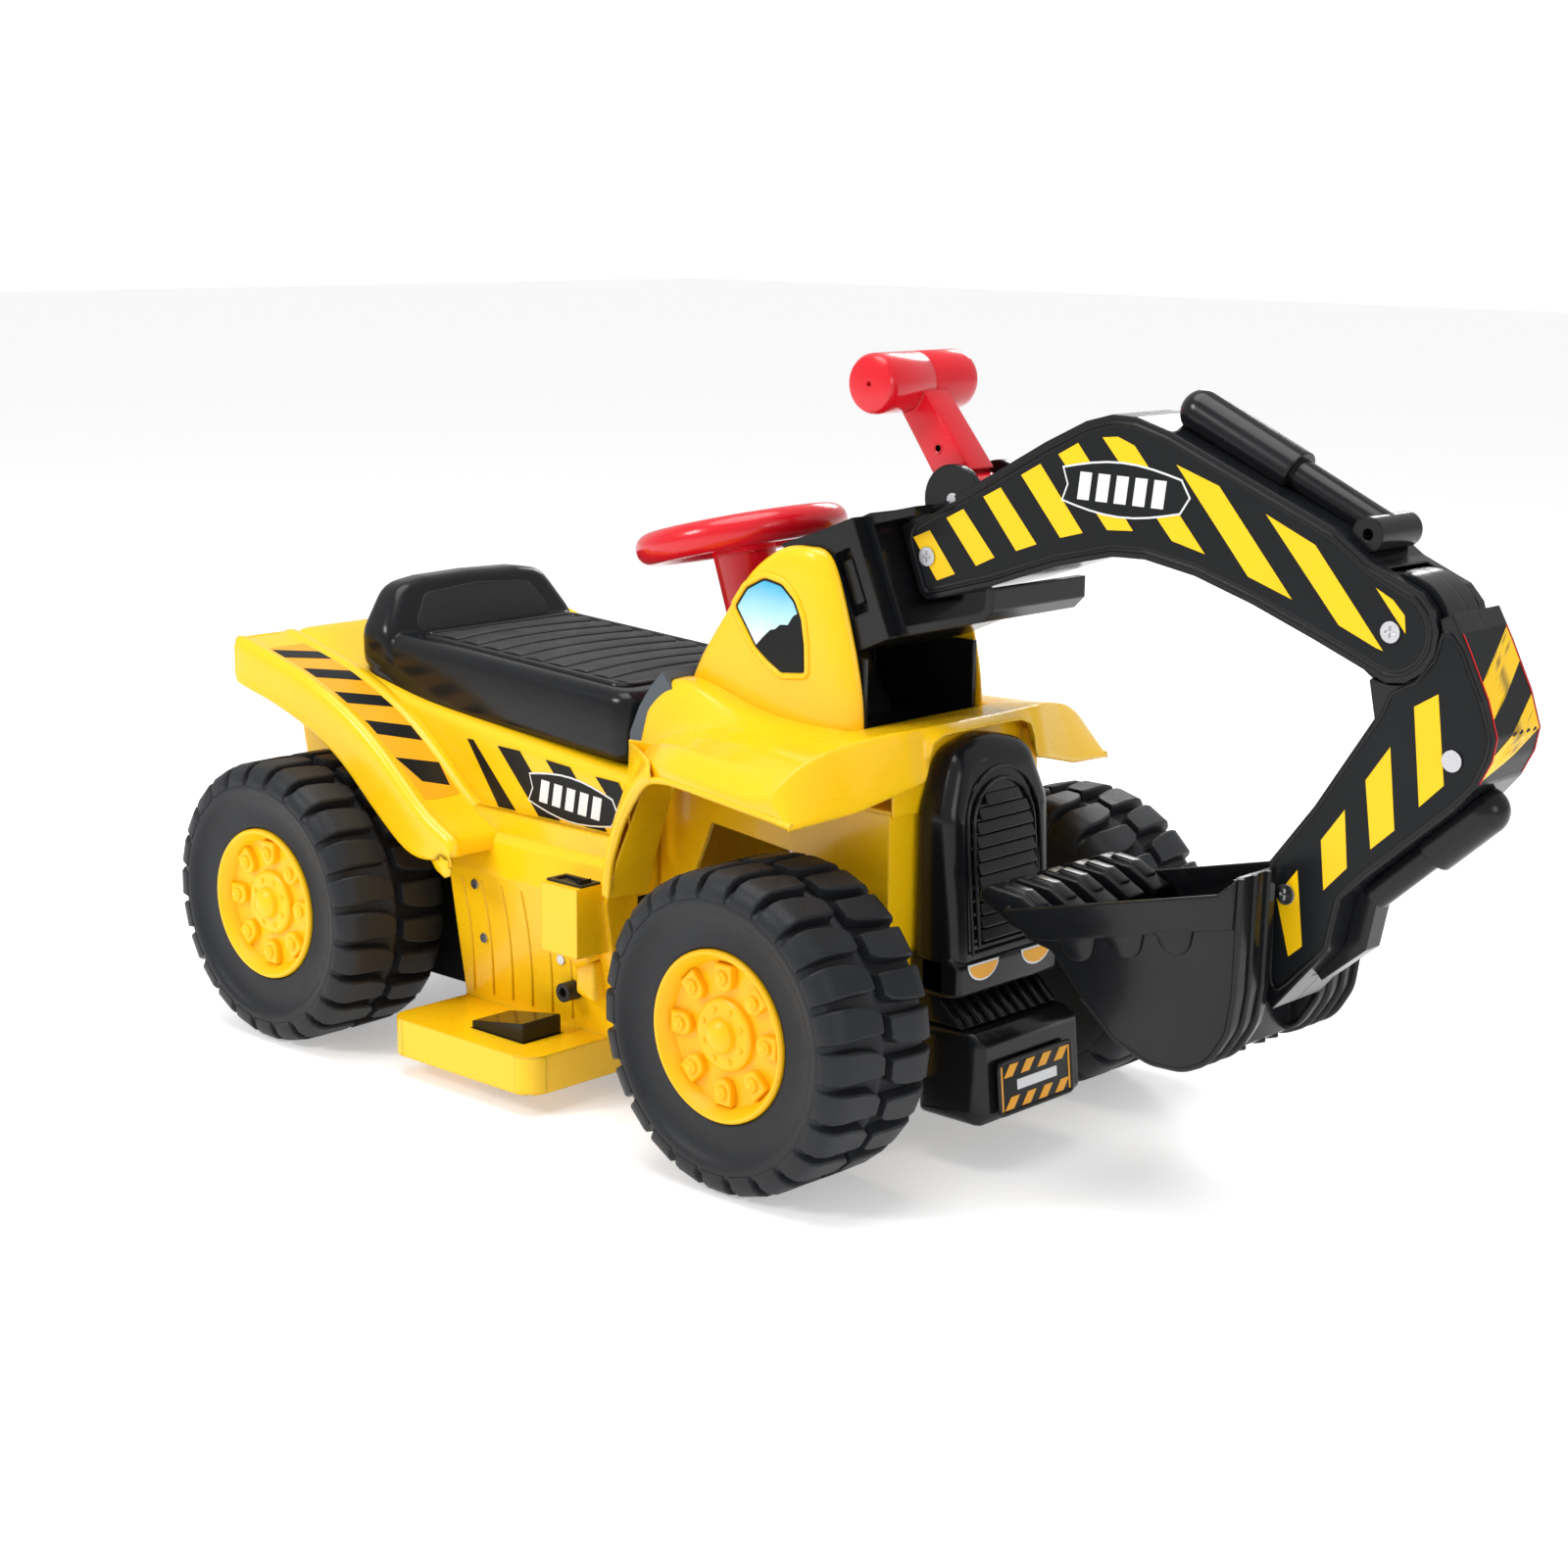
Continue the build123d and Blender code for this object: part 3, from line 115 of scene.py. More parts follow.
def make_handling_marks():
    """Faint smears and rubbed patches that change a glossy surface's roughness."""
    group, given, result = effect_group(
        "handling_marks", [("Vector", "NodeSocketVector", None)], [("Mask", "NodeSocketFloat")])
    broad = stretched(group, noise(group, given.outputs["Vector"], 24.0, 4.0, 0.6), 0.42, 0.7)
    squeeze = added(group, "ShaderNodeMapping", {"Vector": given.outputs["Vector"], "Scale": (60, 60, 400)})
    fine = stretched(group, noise(group, squeeze.outputs["Vector"], 2.0, 3.0), 0.5, 0.75)
    total = combined(group, "ADD", combined(group, "MULTIPLY", broad, 0.7),
                     combined(group, "MULTIPLY", fine, 0.3))
    group.links.new(total, result.inputs["Mask"])
    return group


def make_settled_dust():
    """A trace of dust on faces that look up, strongest in uneven patches."""
    group, given, result = effect_group(
        "settled_dust", [("Vector", "NodeSocketVector", None), ("Normal", "NodeSocketVector", None)],
        [("Mask", "NodeSocketFloat")])
    parts = added(group, "ShaderNodeSeparateXYZ", {0: given.outputs["Normal"]})
    up = stretched(group, parts.outputs["Z"], 0.55, 1.0)
    patches = stretched(group, noise(group, given.outputs["Vector"], 55.0, 4.0, 0.65), 0.45, 0.8)
    group.links.new(combined(group, "MULTIPLY", up, patches), result.inputs["Mask"])
    return group


uneven_tone = make_uneven_tone()
mould_grain = make_mould_grain()
handling_marks = make_handling_marks()
settled_dust = make_settled_dust()


def placed_group(tree, group, vector, **more):
    return added(tree, "ShaderNodeGroup", {"Vector": vector, **more}, node_tree=group)


def mixed(tree, mask, first, second):
    first, second = ((*colour, 1) if isinstance(colour, tuple) else colour for colour in (first, second))
    return added(tree, "ShaderNodeMix", {"Factor": mask, 6: first, 7: second}, data_type="RGBA").outputs[2]


def empty_material(name):
    """A new material, its node tree and its shader."""
    material = bpy.data.materials.new(name)
    material.use_nodes = True
    return material, material.node_tree, material.node_tree.nodes["Principled BSDF"]


def set_inputs(shader, **values):
    """Sets constant values on a shader's own sockets, named with _ for each space."""
    for label, value in values.items():
        shader.inputs[label.replace("_", " ")].default_value = value


def plastic(name, colour, shade, roughness, grain_scale=900.0, grain=0.0, coat=0.0, edge=1.2, dust=0.12,
            metallic=0.0, rough_swing=0.08, translucent=0.0, shine=0.32):
    """A moulded finish: drifting tone, handling marks, mould grain, softened edges and a trace of dust."""
    material, tree, shader = empty_material(name)
    where = tree.nodes.new("ShaderNodeTexCoord").outputs["Object"]
    facing = tree.nodes.new("ShaderNodeNewGeometry").outputs["Normal"]
    tone = placed_group(tree, uneven_tone, where).outputs["Mask"]
    dusted = placed_group(tree, settled_dust, where, Normal=facing).outputs["Mask"]
    body = mixed(tree, tone, colour, shade)
    dust_colour = tuple(0.75 * part + 0.25 * 0.5 for part in colour)
    faint = combined(tree, "MULTIPLY", dusted, dust)
    tree.links.new(mixed(tree, faint, body, dust_colour), shader.inputs["Base Color"])
    marks = placed_group(tree, handling_marks, where).outputs["Mask"]
    rough = combined(tree, "ADD", combined(tree, "MULTIPLY", marks, rough_swing), roughness - rough_swing / 2)
    rough = combined(tree, "ADD", rough, combined(tree, "MULTIPLY", faint, 0.5))
    tree.links.new(rough, shader.inputs["Roughness"])
    normal = added(tree, "ShaderNodeBevel", {"Radius": edge * MM}, samples=4).outputs["Normal"]
    if grain:
        height = placed_group(tree, mould_grain, where, Scale=grain_scale).outputs["Height"]
        bump = {"Strength": grain, "Distance": 0.3 * MM, "Height": height, "Normal": normal}
        normal = added(tree, "ShaderNodeBump", bump).outputs["Normal"]
    tree.links.new(normal, shader.inputs["Normal"])
    set_inputs(shader, Coat_Weight=coat, Coat_Roughness=0.08, Metallic=metallic, IOR=1.5,
               Specular_IOR_Level=0.5 if metallic else shine)
    if translucent:
        set_inputs(shader, Subsurface_Weight=translucent, Subsurface_Radius=(1.0, 0.45, 0.05),
                   Subsurface_Scale=4 * MM)
    return material


def brushed(name, colour, roughness):
    """Zinc-plated or turned steel, with fine streaks along the toy's width."""
    material = plastic(name, colour, tuple(0.8 * part for part in colour), roughness, edge=0.4, dust=0.05,
                       metallic=1.0, rough_swing=0.2)
    tree = material.node_tree
    where = tree.nodes["Texture Coordinate"].outputs["Object"]
    squeeze = added(tree, "ShaderNodeMapping", {"Scale": (3000, 60, 3000), "Vector": where})
    bump = added(tree, "ShaderNodeBump", {
        "Strength": 0.25, "Distance": 0.05 * MM, "Height": noise(tree, squeeze.outputs["Vector"], 1.0, 2.0),
        "Normal": tree.nodes["Bevel"].outputs["Normal"]})
    tree.links.new(bump.outputs["Normal"], tree.nodes["Principled BSDF"].inputs["Normal"])
    return material


YELLOW = (0.98, 0.585, 0.004)
YELLOW_DEEP = (0.97, 0.555, 0.003)
BLACK = (0.0055, 0.006, 0.007)
BLACK_LIFTED = (0.0085, 0.0092, 0.0105)

finish = {
    "body_yellow": plastic("glossy_yellow_shell", YELLOW, YELLOW_DEEP, 0.30, 1200.0, 0.03, 0.25, 2.4, 0.03,
                           translucent=0.08),
    "cap_yellow": plastic("satin_yellow_cap", (0.97, 0.56, 0.004), (0.94, 0.48, 0.002), 0.38, 1000.0, 0.06,
                          0.0, 0.9),
    "black_moulding": plastic("glossy_black_moulding", BLACK, BLACK_LIFTED, 0.24, 1400.0, 0.03, 0.12, 2.0,
                              0.02, shine=0.22),
    "black_grained": plastic("grained_black_mat", (0.012, 0.013, 0.014), (0.018, 0.019, 0.021), 0.62, 700.0,
                             0.55, edge=0.8, dust=0.3),
    "tyre_plastic": plastic("grained_tyre_plastic", (0.013, 0.014, 0.0165), (0.018, 0.0195, 0.022), 0.50,
                            800.0, 0.40, edge=1.4, dust=0.12, rough_swing=0.12, shine=0.25),
    "red_plastic": plastic("glossy_red_plastic", (0.72, 0.006, 0.018), (0.62, 0.003, 0.012), 0.26, 1300.0,
                           0.03, 0.4, 2.0),
    "grey_plastic": plastic("satin_slate_panel", (0.085, 0.105, 0.125), (0.07, 0.088, 0.108), 0.42, 1000.0,
                            0.12, edge=2.0),
    "zinc_steel": brushed("zinc_plated_steel", (0.60, 0.60, 0.62), 0.32),
    "black_component": plastic("satin_black_nylon", (0.012, 0.012, 0.013), (0.02, 0.02, 0.021), 0.45, 1100.0,
                               0.15, edge=0.8),
    "white_nylon": plastic("natural_nylon", (0.78, 0.77, 0.70), (0.70, 0.69, 0.62), 0.40, 1100.0, 0.1,
                           edge=0.4),
    "battery_case": plastic("ribbed_battery_case", (0.03, 0.03, 0.033), (0.045, 0.045, 0.05), 0.48, 900.0,
                            0.2, edge=1.0),
}


def printed_film(colour_name, colour, shade, roughness=0.34, dust=0.03, shine=0.32):
    """The ink of a sticker."""
    return plastic("printed_film_" + colour_name, colour, shade, roughness, 1500.0, 0.03, 0.0, 0.1, dust,
                   shine=shine)


film_black = printed_film("black", (0.0075, 0.0082, 0.009), (0.0095, 0.0105, 0.0115), 0.36, 0.02, 0.16)
film_yellow = printed_film("yellow", (0.97, 0.60, 0.004), (0.95, 0.56, 0.003))
film_amber = printed_film("amber", (0.90, 0.42, 0.01), (0.86, 0.36, 0.006))
film_white = printed_film("white", (0.80, 0.81, 0.82), (0.74, 0.75, 0.77))
film_red = printed_film("red", (0.70, 0.02, 0.02), (0.62, 0.01, 0.01))


def window_film():
    """The cab window's print: sky that pales downward."""
    material = plastic("printed_window_sky", (0.8, 0.9, 0.95), (0.8, 0.9, 0.95), 0.18, 1500.0, 0.02, 0.5, 0.1,
                       0.0)
    tree = material.node_tree
    where = tree.nodes["Texture Coordinate"].outputs["Object"]
    parts = added(tree, "ShaderNodeSeparateXYZ", {0: where})
    height = stretched(tree, parts.outputs["Z"], 0.288, 0.326)
    ramp = tree.nodes.new("ShaderNodeValToRGB")
    ramp.color_ramp.elements[0].color = (0.86, 0.92, 0.95, 1)
    ramp.color_ramp.elements[1].color = (0.035, 0.43, 0.72, 1)
    middle = ramp.color_ramp.elements.new(0.55)
    middle.color = (0.40, 0.74, 0.88, 1)
    drift = combined(tree, "MULTIPLY", noise(tree, where, 60.0), 0.25)
    tree.links.new(combined(tree, "ADD", combined(tree, "SUBTRACT", height, 0.12), drift), ramp.inputs["Fac"])
    tree.links.new(ramp.outputs["Color"], tree.nodes["Principled BSDF"].inputs["Base Color"])
    return material


film_sky = window_film()


# ---- building blocks ---------------------------------------------------------------------------------
def rounded_corners(points, radius, steps=4):
    """A closed outline with each corner turned into a short curve of about the radius."""
    made = []
    count = len(points)
    radii = radius if isinstance(radius, list) else [radius] * count  # one for all, or one for each corner
    for index, here in enumerate(points):
        before, after = Vector(points[index - 1]), Vector(points[(index + 1) % count])
        here = Vector(here)
        back, ahead = before - here, after - here
        bend = math.pi - back.angle(ahead, math.pi)
        reach = min(radii[index] * math.tan(bend / 2), 0.46 * back.length, 0.46 * ahead.length)
        if bend < 0.03 or reach < 0.05:
            made.append(tuple(here))
            continue
        start, end = here + back.normalized() * reach, here + ahead.normalized() * reach
        for step in range(steps + 1):
            share = step / steps
            made.append(tuple(start * (1 - share) ** 2 + here * 2 * share * (1 - share) + end * share ** 2))
    return made


def turns_left(points):
    area = sum(a[0] * b[1] - b[0] * a[1] for a, b in zip(points, points[1:] + points[:1]))
    return area > 0


def moved_in(points, amount):
    """The outline moved inward by the amount."""
    side = 1 if turns_left(points) else -1
    made = []
    for index, here in enumerate(points):
        here = Vector(here)
        first = (here - Vector(points[index - 1])).normalized()
        second = (Vector(points[(index + 1) % len(points)]) - here).normalized()
        across = (Vector((-first.y, first.x)) + Vector((-second.y, second.x))) * side
        if across.length < 1e-6:
            made.append(tuple(here))
            continue
        across.normalize()
        lean = max(0.35, abs(across.dot(Vector((-first.y, first.x)))))
        made.append(tuple(here + across * amount / lean))
    return made


def stood(point, level, axis):
    """A flat point (a, b) put at a level along the axis: y takes (x, z), x takes (y, z), z takes (x, y)."""
    if axis == "y":
        return (point[0], level, point[1])
    if axis == "x":
        return (level, point[0], point[1])
    return (point[0], point[1], level)


def ringed(verts, wide, closed=False):
    """Faces between stacked rings of equal length. The ends are closed, or the last ring meets the first."""
    faces, count = [], len(verts) // wide
    for ring in range(count if closed else count - 1):
        here, above = ring * wide, (ring + 1) % count * wide
        for index in range(wide):
            following = (index + 1) % wide
            faces.append((here + index, here + following, above + following, above + index))
    if not closed:
        faces += [tuple(range(wide)), tuple(range(len(verts) - wide, len(verts)))]
    return verts, faces


def plate(points, low, high, edge=1.0, axis="y", corner=0.0, steps=3):
    """A closed plate with the outline's shape and rounded edges, as points and faces."""
    if corner:
        points = rounded_corners(points, corner)
    edge = min(edge, 0.49 * (high - low))
    rings = []
    for step in range(steps + 1):
        turn = math.pi / 2 * step / steps
        rings.append((edge * (1 - math.sin(turn)), low + edge * (1 - math.cos(turn))))
    rings += [(inward, low + high - level) for inward, level in reversed(rings)]
    verts = []
    for inward, level in rings:
        verts += [stood(point, level, axis) for point in (moved_in(points,
                                                                   inward) if inward > 1e-6 else points)]
    return ringed(verts, len(points))


def lathe(profile, place, segments=96, closed=True):
    """A (radius, y) profile turned about an axis along Y through place (x, z)."""
    verts, faces, rows = [], [], []
    for radius, level in profile:
        if radius < 1e-6:
            rows.append([len(verts)] * segments)
            verts.append((place[0], level, place[1]))
            continue
        rows.append(list(range(len(verts), len(verts) + segments)))
        for index in range(segments):
            turn = 2 * math.pi * index / segments
            verts.append((place[0] + radius * math.cos(turn), level, place[1] + radius * math.sin(turn)))
    pairs = list(zip(rows, rows[1:])) + ([(rows[-1], rows[0])] if closed else [])
    for one, two in pairs:
        for index in range(segments):
            following = (index + 1) % segments
            corners = []
            for corner in (one[index], one[following], two[following], two[index]):
                if corner not in corners:
                    corners.append(corner)
            if len(corners) > 2:
                faces.append(tuple(corners))
    return verts, faces


def smooth_path(points, steps=6):
    """A smooth line through the points."""
    points = [Vector(point) for point in points]
    made = []
    for index, (p1, p2) in enumerate(zip(points, points[1:])):
        p0 = points[index - 1] if index else p1 * 2 - p2
        p3 = points[index + 2] if index + 2 < len(points) else p2 * 2 - p1
        for step in range(steps):
            t = step / steps
            made.append(0.5 * ((2 * p1) + (p2 - p0) * t + (2 * p0 - 5 * p1 + 4 * p2 - p3) * t * t
                               + (3 * p1 - p0 - 3 * p2 + p3) * t ** 3))
    return [tuple(point) for point in made + [points[-1]]]


def tube(path, radius, closed=False, sides=10, flatten=1.0, out=(0, 1, 0)):
    """A round bead along a path. With flatten below 1 it stands less proud in the direction out."""
    path = [Vector(point) for point in path]
    count = len(path)
    out = Vector(out).normalized()
    verts = []
    for index, here in enumerate(path):
        before = path[index - 1] if index or closed else here
        after = path[(index + 1) % count] if index + 1 < count or closed else here
        along_path = (after - before).normalized()
        across = along_path.cross(out)
        across = across.normalized() if across.length > 1e-6 else along_path.orthogonal().normalized()
        up = across.cross(along_path).normalized()
        for side in range(sides):
            turn = 2 * math.pi * side / sides
            aside, above = across * radius * math.cos(turn), up * radius * flatten * math.sin(turn)
            verts.append(tuple(here + aside + above))
    return ringed(verts, sides, closed)


def grid(rows):
    """An open surface through rows of points."""
    wide = len(rows[0])
    verts = [tuple(point) for row in rows for point in row]
    faces = []
    for row in range(len(rows) - 1):
        for index in range(wide - 1):
            a = row * wide + index
            faces.append((a, a + wide, a + wide + 1, a + 1))
    return verts, faces


def joined(*shapes):
    verts, faces = [], []
    for more_verts, more_faces in shapes:
        shift = len(verts)
        verts += more_verts
        faces += [tuple(corner + shift for corner in face) for face in more_faces]
    return verts, faces


def welded(shape):
    """The same shape with vertices that share a place made one."""
    verts, faces = shape
    places, kept, new_index = {}, [], []
    for vert in verts:
        key = tuple(round(part, 2) for part in vert)
        if key not in places:
            places[key] = len(kept)
            kept.append(vert)
        new_index.append(places[key])
    return kept, [tuple(new_index[corner] for corner in face) for face in faces]


def other_side(shape):
    verts, faces = shape
    return [(x, -y, z) for x, y, z in verts], [tuple(reversed(face)) for face in faces]


def bent(shape, rule):
    """The shape with each point moved by the rule."""
    return [tuple(rule(*point)) for point in shape[0]], shape[1]


def turned_at(shape, centre, angle):
    """The shape turned about an axis along Y through centre (x, z), by an angle in degrees in side view."""
    cosine, sine = math.cos(math.radians(angle)), math.sin(math.radians(angle))

    def rule(x, y, z):
        dx, dz = x - centre[0], z - centre[1]
        return centre[0] + dx * cosine - dz * sine, y, centre[1] + dx * sine + dz * cosine

    return bent(shape, rule)


def mesh_of(name, shape, smooth=32, open_sheet=False):
    """A clean mesh in metres with outward faces, smooth but for edges sharper than the angle."""
    mesh = bpy.data.meshes.new(name)
    mesh.from_pydata([Vector(point) * MM for point in shape[0]], [], shape[1])
    work = bmesh.new()
    work.from_mesh(mesh)
    bmesh.ops.remove_doubles(work, verts=work.verts, dist=2e-6)
    if not open_sheet:
        bmesh.ops.recalc_face_normals(work, faces=work.faces)
    wide = [face for face in work.faces if len(face.verts) > 4]
    bmesh.ops.triangulate(work, faces=wide, ngon_method="EAR_CLIP")
    work.to_mesh(mesh)
    work.free()
    mesh.polygons.foreach_set("use_smooth", [True] * len(mesh.polygons))
    mesh.set_sharp_from_angle(angle=math.radians(smooth))
    return mesh


def placed(name, data):
    """A new object in the scene."""
    piece = bpy.data.objects.new(name, data)
    bpy.context.scene.collection.objects.link(piece)
    return piece


def plain_copy(piece):
    """Turns what the modifiers make of a piece into its own plain mesh."""
    seen = piece.evaluated_get(bpy.context.evaluated_depsgraph_get())
    mesh = bpy.data.meshes.new_from_object(seen)
    piece.modifiers.clear()
    piece.data = mesh
    return piece


def make(name, shape, body, slot, material=None, stands_for=(), smooth=32, thick=0.0, subdivide=0):
    """One finished piece: its mesh, wall and softness, its finish, its body and the nodes it stands for."""
    piece = placed(name, mesh_of(name, shape, smooth, bool(thick)))
    piece.data.materials.append(material or finish[slot])
    if thick:
        wall = piece.modifiers.new("wall", "SOLIDIFY")
        wall.thickness = abs(thick) * MM
        wall.offset = -1.0 if thick > 0 else 1.0
        wall.use_even_offset = True
    if subdivide:
        soft = piece.modifiers.new("soft", "SUBSURF")
        soft.levels = soft.render_levels = subdivide
    if thick or subdivide:
        plain_copy(piece)
        work = bmesh.new()
        work.from_mesh(piece.data)
        bmesh.ops.recalc_face_normals(work, faces=work.faces)
        work.to_mesh(piece.data)
        work.free()
        piece.data.set_sharp_from_angle(angle=math.radians(smooth))
    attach(piece, body)
    if stands_for:
        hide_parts(*stands_for)
    return piece


def make_repeat_tree():
    """Repeats one part along a step and about a turn, as Geometry Nodes with named inputs."""
    tree = bpy.data.node_groups.new("repeated_part", "GeometryNodeTree")
    for label, kind in (("Part", "NodeSocketObject"), ("Count", "NodeSocketInt"),
                        ("Start", "NodeSocketVector"), ("Step", "NodeSocketVector"),
                        ("Turn", "NodeSocketVector"), ("First Turn", "NodeSocketVector"),
                        ("Finish", "NodeSocketMaterial")):
        tree.interface.new_socket(name=label, in_out="INPUT", socket_type=kind)
    tree.interface.new_socket(name="Geometry", in_out="OUTPUT", socket_type="NodeSocketGeometry")
    new, link = tree.nodes.new, tree.links.new
    given, result = new("NodeGroupInput"), new("NodeGroupOutput")
    part, index = new("GeometryNodeObjectInfo"), new("GeometryNodeInputIndex")
    dots = new("GeometryNodePoints")
    link(given.outputs["Part"], part.inputs["Object"])
    link(given.outputs["Count"], dots.inputs["Count"])

    def times_index(name, first):
        scale = added(tree, "ShaderNodeVectorMath", {0: given.outputs[name], "Scale": index.outputs[0]},
                      operation="SCALE")
        total = {0: scale.outputs[0], 1: given.outputs[first]}
        return added(tree, "ShaderNodeVectorMath", total, operation="ADD").outputs[0]

    link(times_index("Step", "Start"), dots.inputs["Position"])
    turn = added(tree, "FunctionNodeEulerToRotation", {0: times_index("Turn", "First Turn")})
    copies = added(tree, "GeometryNodeInstanceOnPoints", {
        "Points": dots.outputs[0], "Instance": part.outputs["Geometry"], "Rotation": turn.outputs[0]})
    solid = added(tree, "GeometryNodeRealizeInstances", {0: copies.outputs[0]})
    coloured = added(tree, "GeometryNodeSetMaterial", {"Geometry": solid.outputs[0],
                                                       "Material": given.outputs["Finish"]})
    link(coloured.outputs[0], result.inputs["Geometry"])
    return tree


repeat_tree = make_repeat_tree()


def repeated(name, part, count, body, slot, start=(0, 0, 0), step=(0, 0, 0), turn=(0, 0, 0),
             first_turn=(0, 0, 0), material=None, smooth=32, mirror=False):
    """A piece made of equal copies of a part. Start and step are in millimetres, turns in degrees."""
    model = placed(name + "_part", mesh_of(name + "_part", part, smooth))
    piece = placed(name, bpy.data.meshes.new(name))
    rule = piece.modifiers.new("repeat", "NODES")
    rule.node_group = repeat_tree
    values = {"Part": model, "Count": count, "Start": [part * MM for part in start],
              "Step": [part * MM for part in step], "Turn": [math.radians(part) for part in turn],
              "First Turn": [math.radians(part) for part in first_turn], "Finish": material or finish[slot]}
    for socket in repeat_tree.interface.items_tree:
        if socket.in_out == "INPUT":
            rule[socket.identifier] = values[socket.name]
    plain_copy(piece)
    bpy.data.objects.remove(model)
    if mirror:
        piece.data.transform(Matrix.Diagonal((1, -1, 1, 1)))
        piece.data.flip_normals()
    piece.data.set_sharp_from_angle(angle=math.radians(smooth))
    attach(piece, body)
    return piece


def both(name, shape, body, slot, **more):
    """The same piece on the right and the left side."""
    bodies = (body, body) if isinstance(body, str) else body
    nodes = more.pop("stands_for", None) or ((), ())
    make(name + "_left", shape, bodies[0], slot, stands_for=nodes[0], **more)
    make(name + "_right", other_side(shape), bodies[1], slot, stands_for=nodes[1], **more)


def lid(points, level, height=0.2):
    """A thin printed film or a low raised pad on a flat face."""
    low, high = sorted((level, level + height))
    return plate(points, low, high, 0.05, steps=1)


# ---- wheels ------------------------------------------------------------------------------------------
LUGS = 24
WHEEL_WIDTH = 85.6


def tyre_carcass(place):
    """The blow-moulded wheel under its lugs: hollowed sidewall, raised shoulder ring and a groove floor."""
    inner = TYRE_INNER_Y
    profile = [
        (5.05, 0), (16, 0), (20, 3), (66, 3), (71, 0.6), (76, 0.4), (80, 1.6), (83.5, 5), (85, 10),
               (85.2, 40),
        (86.6, 41.3), (86.6, 44.3), (85.2, 45.6), (85, 75.6), (83.5, 80.6), (80.5, 83.6), (77.5, 84.9),
               (74, 84.6),
        (71.5, 83), (69.5, 81.4), (63, 79.9), (56, 79.6), (52, 80.1), (50.2, 80.1), (49.6, 79.4), (49.6, 62),
               (5.05, 62),
    ]
    return lathe([(radius, inner + level) for radius, level in profile], place, 120)


def tyre_lug(outer):
    """One lug at the top of a wheel about the origin: a skewed block that wraps over the shoulder."""
    stations = [(46.2, 92.4, 3.3, 2.6), (50.5, 92.5, 4.6, 1.6), (62, 92.5, 5.2, 0.4), (73, 92.3, 5.5, 0.0),
                (79, 90.6, 5.6, 0.0), (83.2, 86.6, 5.5, 0.0), (85.0, 81.8, 5.2, 0.0)]
    verts = []
    for level, top, half, skew in stations:
        level = level if outer else WHEEL_WIDTH - level
        skew = skew if outer else -skew
        root = 78.5 if level > 80 or level < 5.6 else 83.0
        for radius, spread in ((root, half + 1.0), (top - 1.0, half + 0.15), (top, half - 0.55),
                               (top, 0.55 - half), (top - 1.0, -half - 0.15), (root, -half - 1.0)):
            turn = math.radians(spread + skew)
            verts.append((radius * math.sin(turn), TYRE_INNER_Y + level, radius * math.cos(turn)))
    return ringed(verts, 6)


def hub_cover(place):
    """The yellow snap-in cover: rolled rim, deep dish, centre disc and a domed boss."""
    profile = [
        (0, 84.6), (4, 84.2), (7.5, 82.9), (9.6, 80.6), (10.2, 77.6), (19, 77.0), (20.6, 75.8), (21.2, 72.6),
               (38.5, 72.2),
        (41, 73), (45.2, 80.8), (46.6, 82.4), (48.2, 82.5), (49.2, 81.2), (49.3, 64), (46.8, 64), (46.8, 78),
               (41.5, 70),
        (20.5, 70), (18.5, 74.5), (8, 75), (8, 80), (0, 81.6),
    ]
    return lathe([(radius, TYRE_INNER_Y + level) for radius, level in profile], place, 96, closed=False)


def hub_pad():
    """One raised pad near the rim with its stepped bolt head, for a wheel about the origin."""
    arch = [(-6.4, 40.5), (-6.4, 31.5)] + [
        (6.4 * math.cos(math.radians(turn)), 31.5 + 6.4 * math.sin(math.radians(turn))) for turn in range(195,
                                                                                                          360,
                                                                                                          15)
    ] + [(6.4, 31.5), (6.4, 40.5)]
    base = TYRE_INNER_Y
    block_shape = plate(arch, base + 71.5, base + 77.2, 1.1)
    bolt = lathe([(0, base + 80.4), (1.9, base + 80.2), (2.3, base + 79.5), (3.5, base + 79.3),
                  (4.1, base + 78.6), (4.2, base + 76.5), (0, base + 76.5)], (0, 33), 20, closed=False)
    return joined(block_shape, bolt)


def hub_nub():
    base = TYRE_INNER_Y
    return lathe([(0, base + 78.6), (1.2, base + 78.3), (1.8, base + 77.5), (1.9, base + 76), (0, base + 76)],
                 (0, 15.2), 12, closed=False)


def make_wheel(end, side, place):
    mirror = side == "right"
    body = f"{end}_wheel_{side}"
    turn_side = other_side if mirror else (lambda shape: shape)
    tyre_node, cap_node = f"{end}_tyre_{side}", f"{end}_cap_{side}"
    make(tyre_node + "_carcass", turn_side(tyre_carcass(place)), body, "tyre_plastic", stands_for=[tyre_node],
         smooth=50)
    axle = (place[0], 0, place[1])
    for label, outer, first in (("outer", True, 0.0), ("inner", False, 180.0 / LUGS)):
        repeated(f"{tyre_node}_{label}_lugs", tyre_lug(outer), LUGS, body, "tyre_plastic", start=axle,
                 turn=(0, 360 / LUGS, 0), first_turn=(0, first, 0), mirror=mirror, smooth=28)
    make(cap_node + "_cover", turn_side(hub_cover(place)), body, "body_yellow", finish["cap_yellow"],
         [cap_node], 28)
    repeated(cap_node + "_pads", hub_pad(), 8, body, "body_yellow", start=axle, turn=(0, 45, 0),
             mirror=mirror, material=finish["cap_yellow"])
    repeated(cap_node + "_nubs", hub_nub(), 8, body, "body_yellow", start=axle, turn=(0, 45, 0),
             first_turn=(0, 22.5, 0), mirror=mirror, material=finish["cap_yellow"])


for end, place in (("rear", REAR_AXLE), ("front", FRONT_AXLE)):
    for side in ("left", "right"):
        make_wheel(end, side, place)


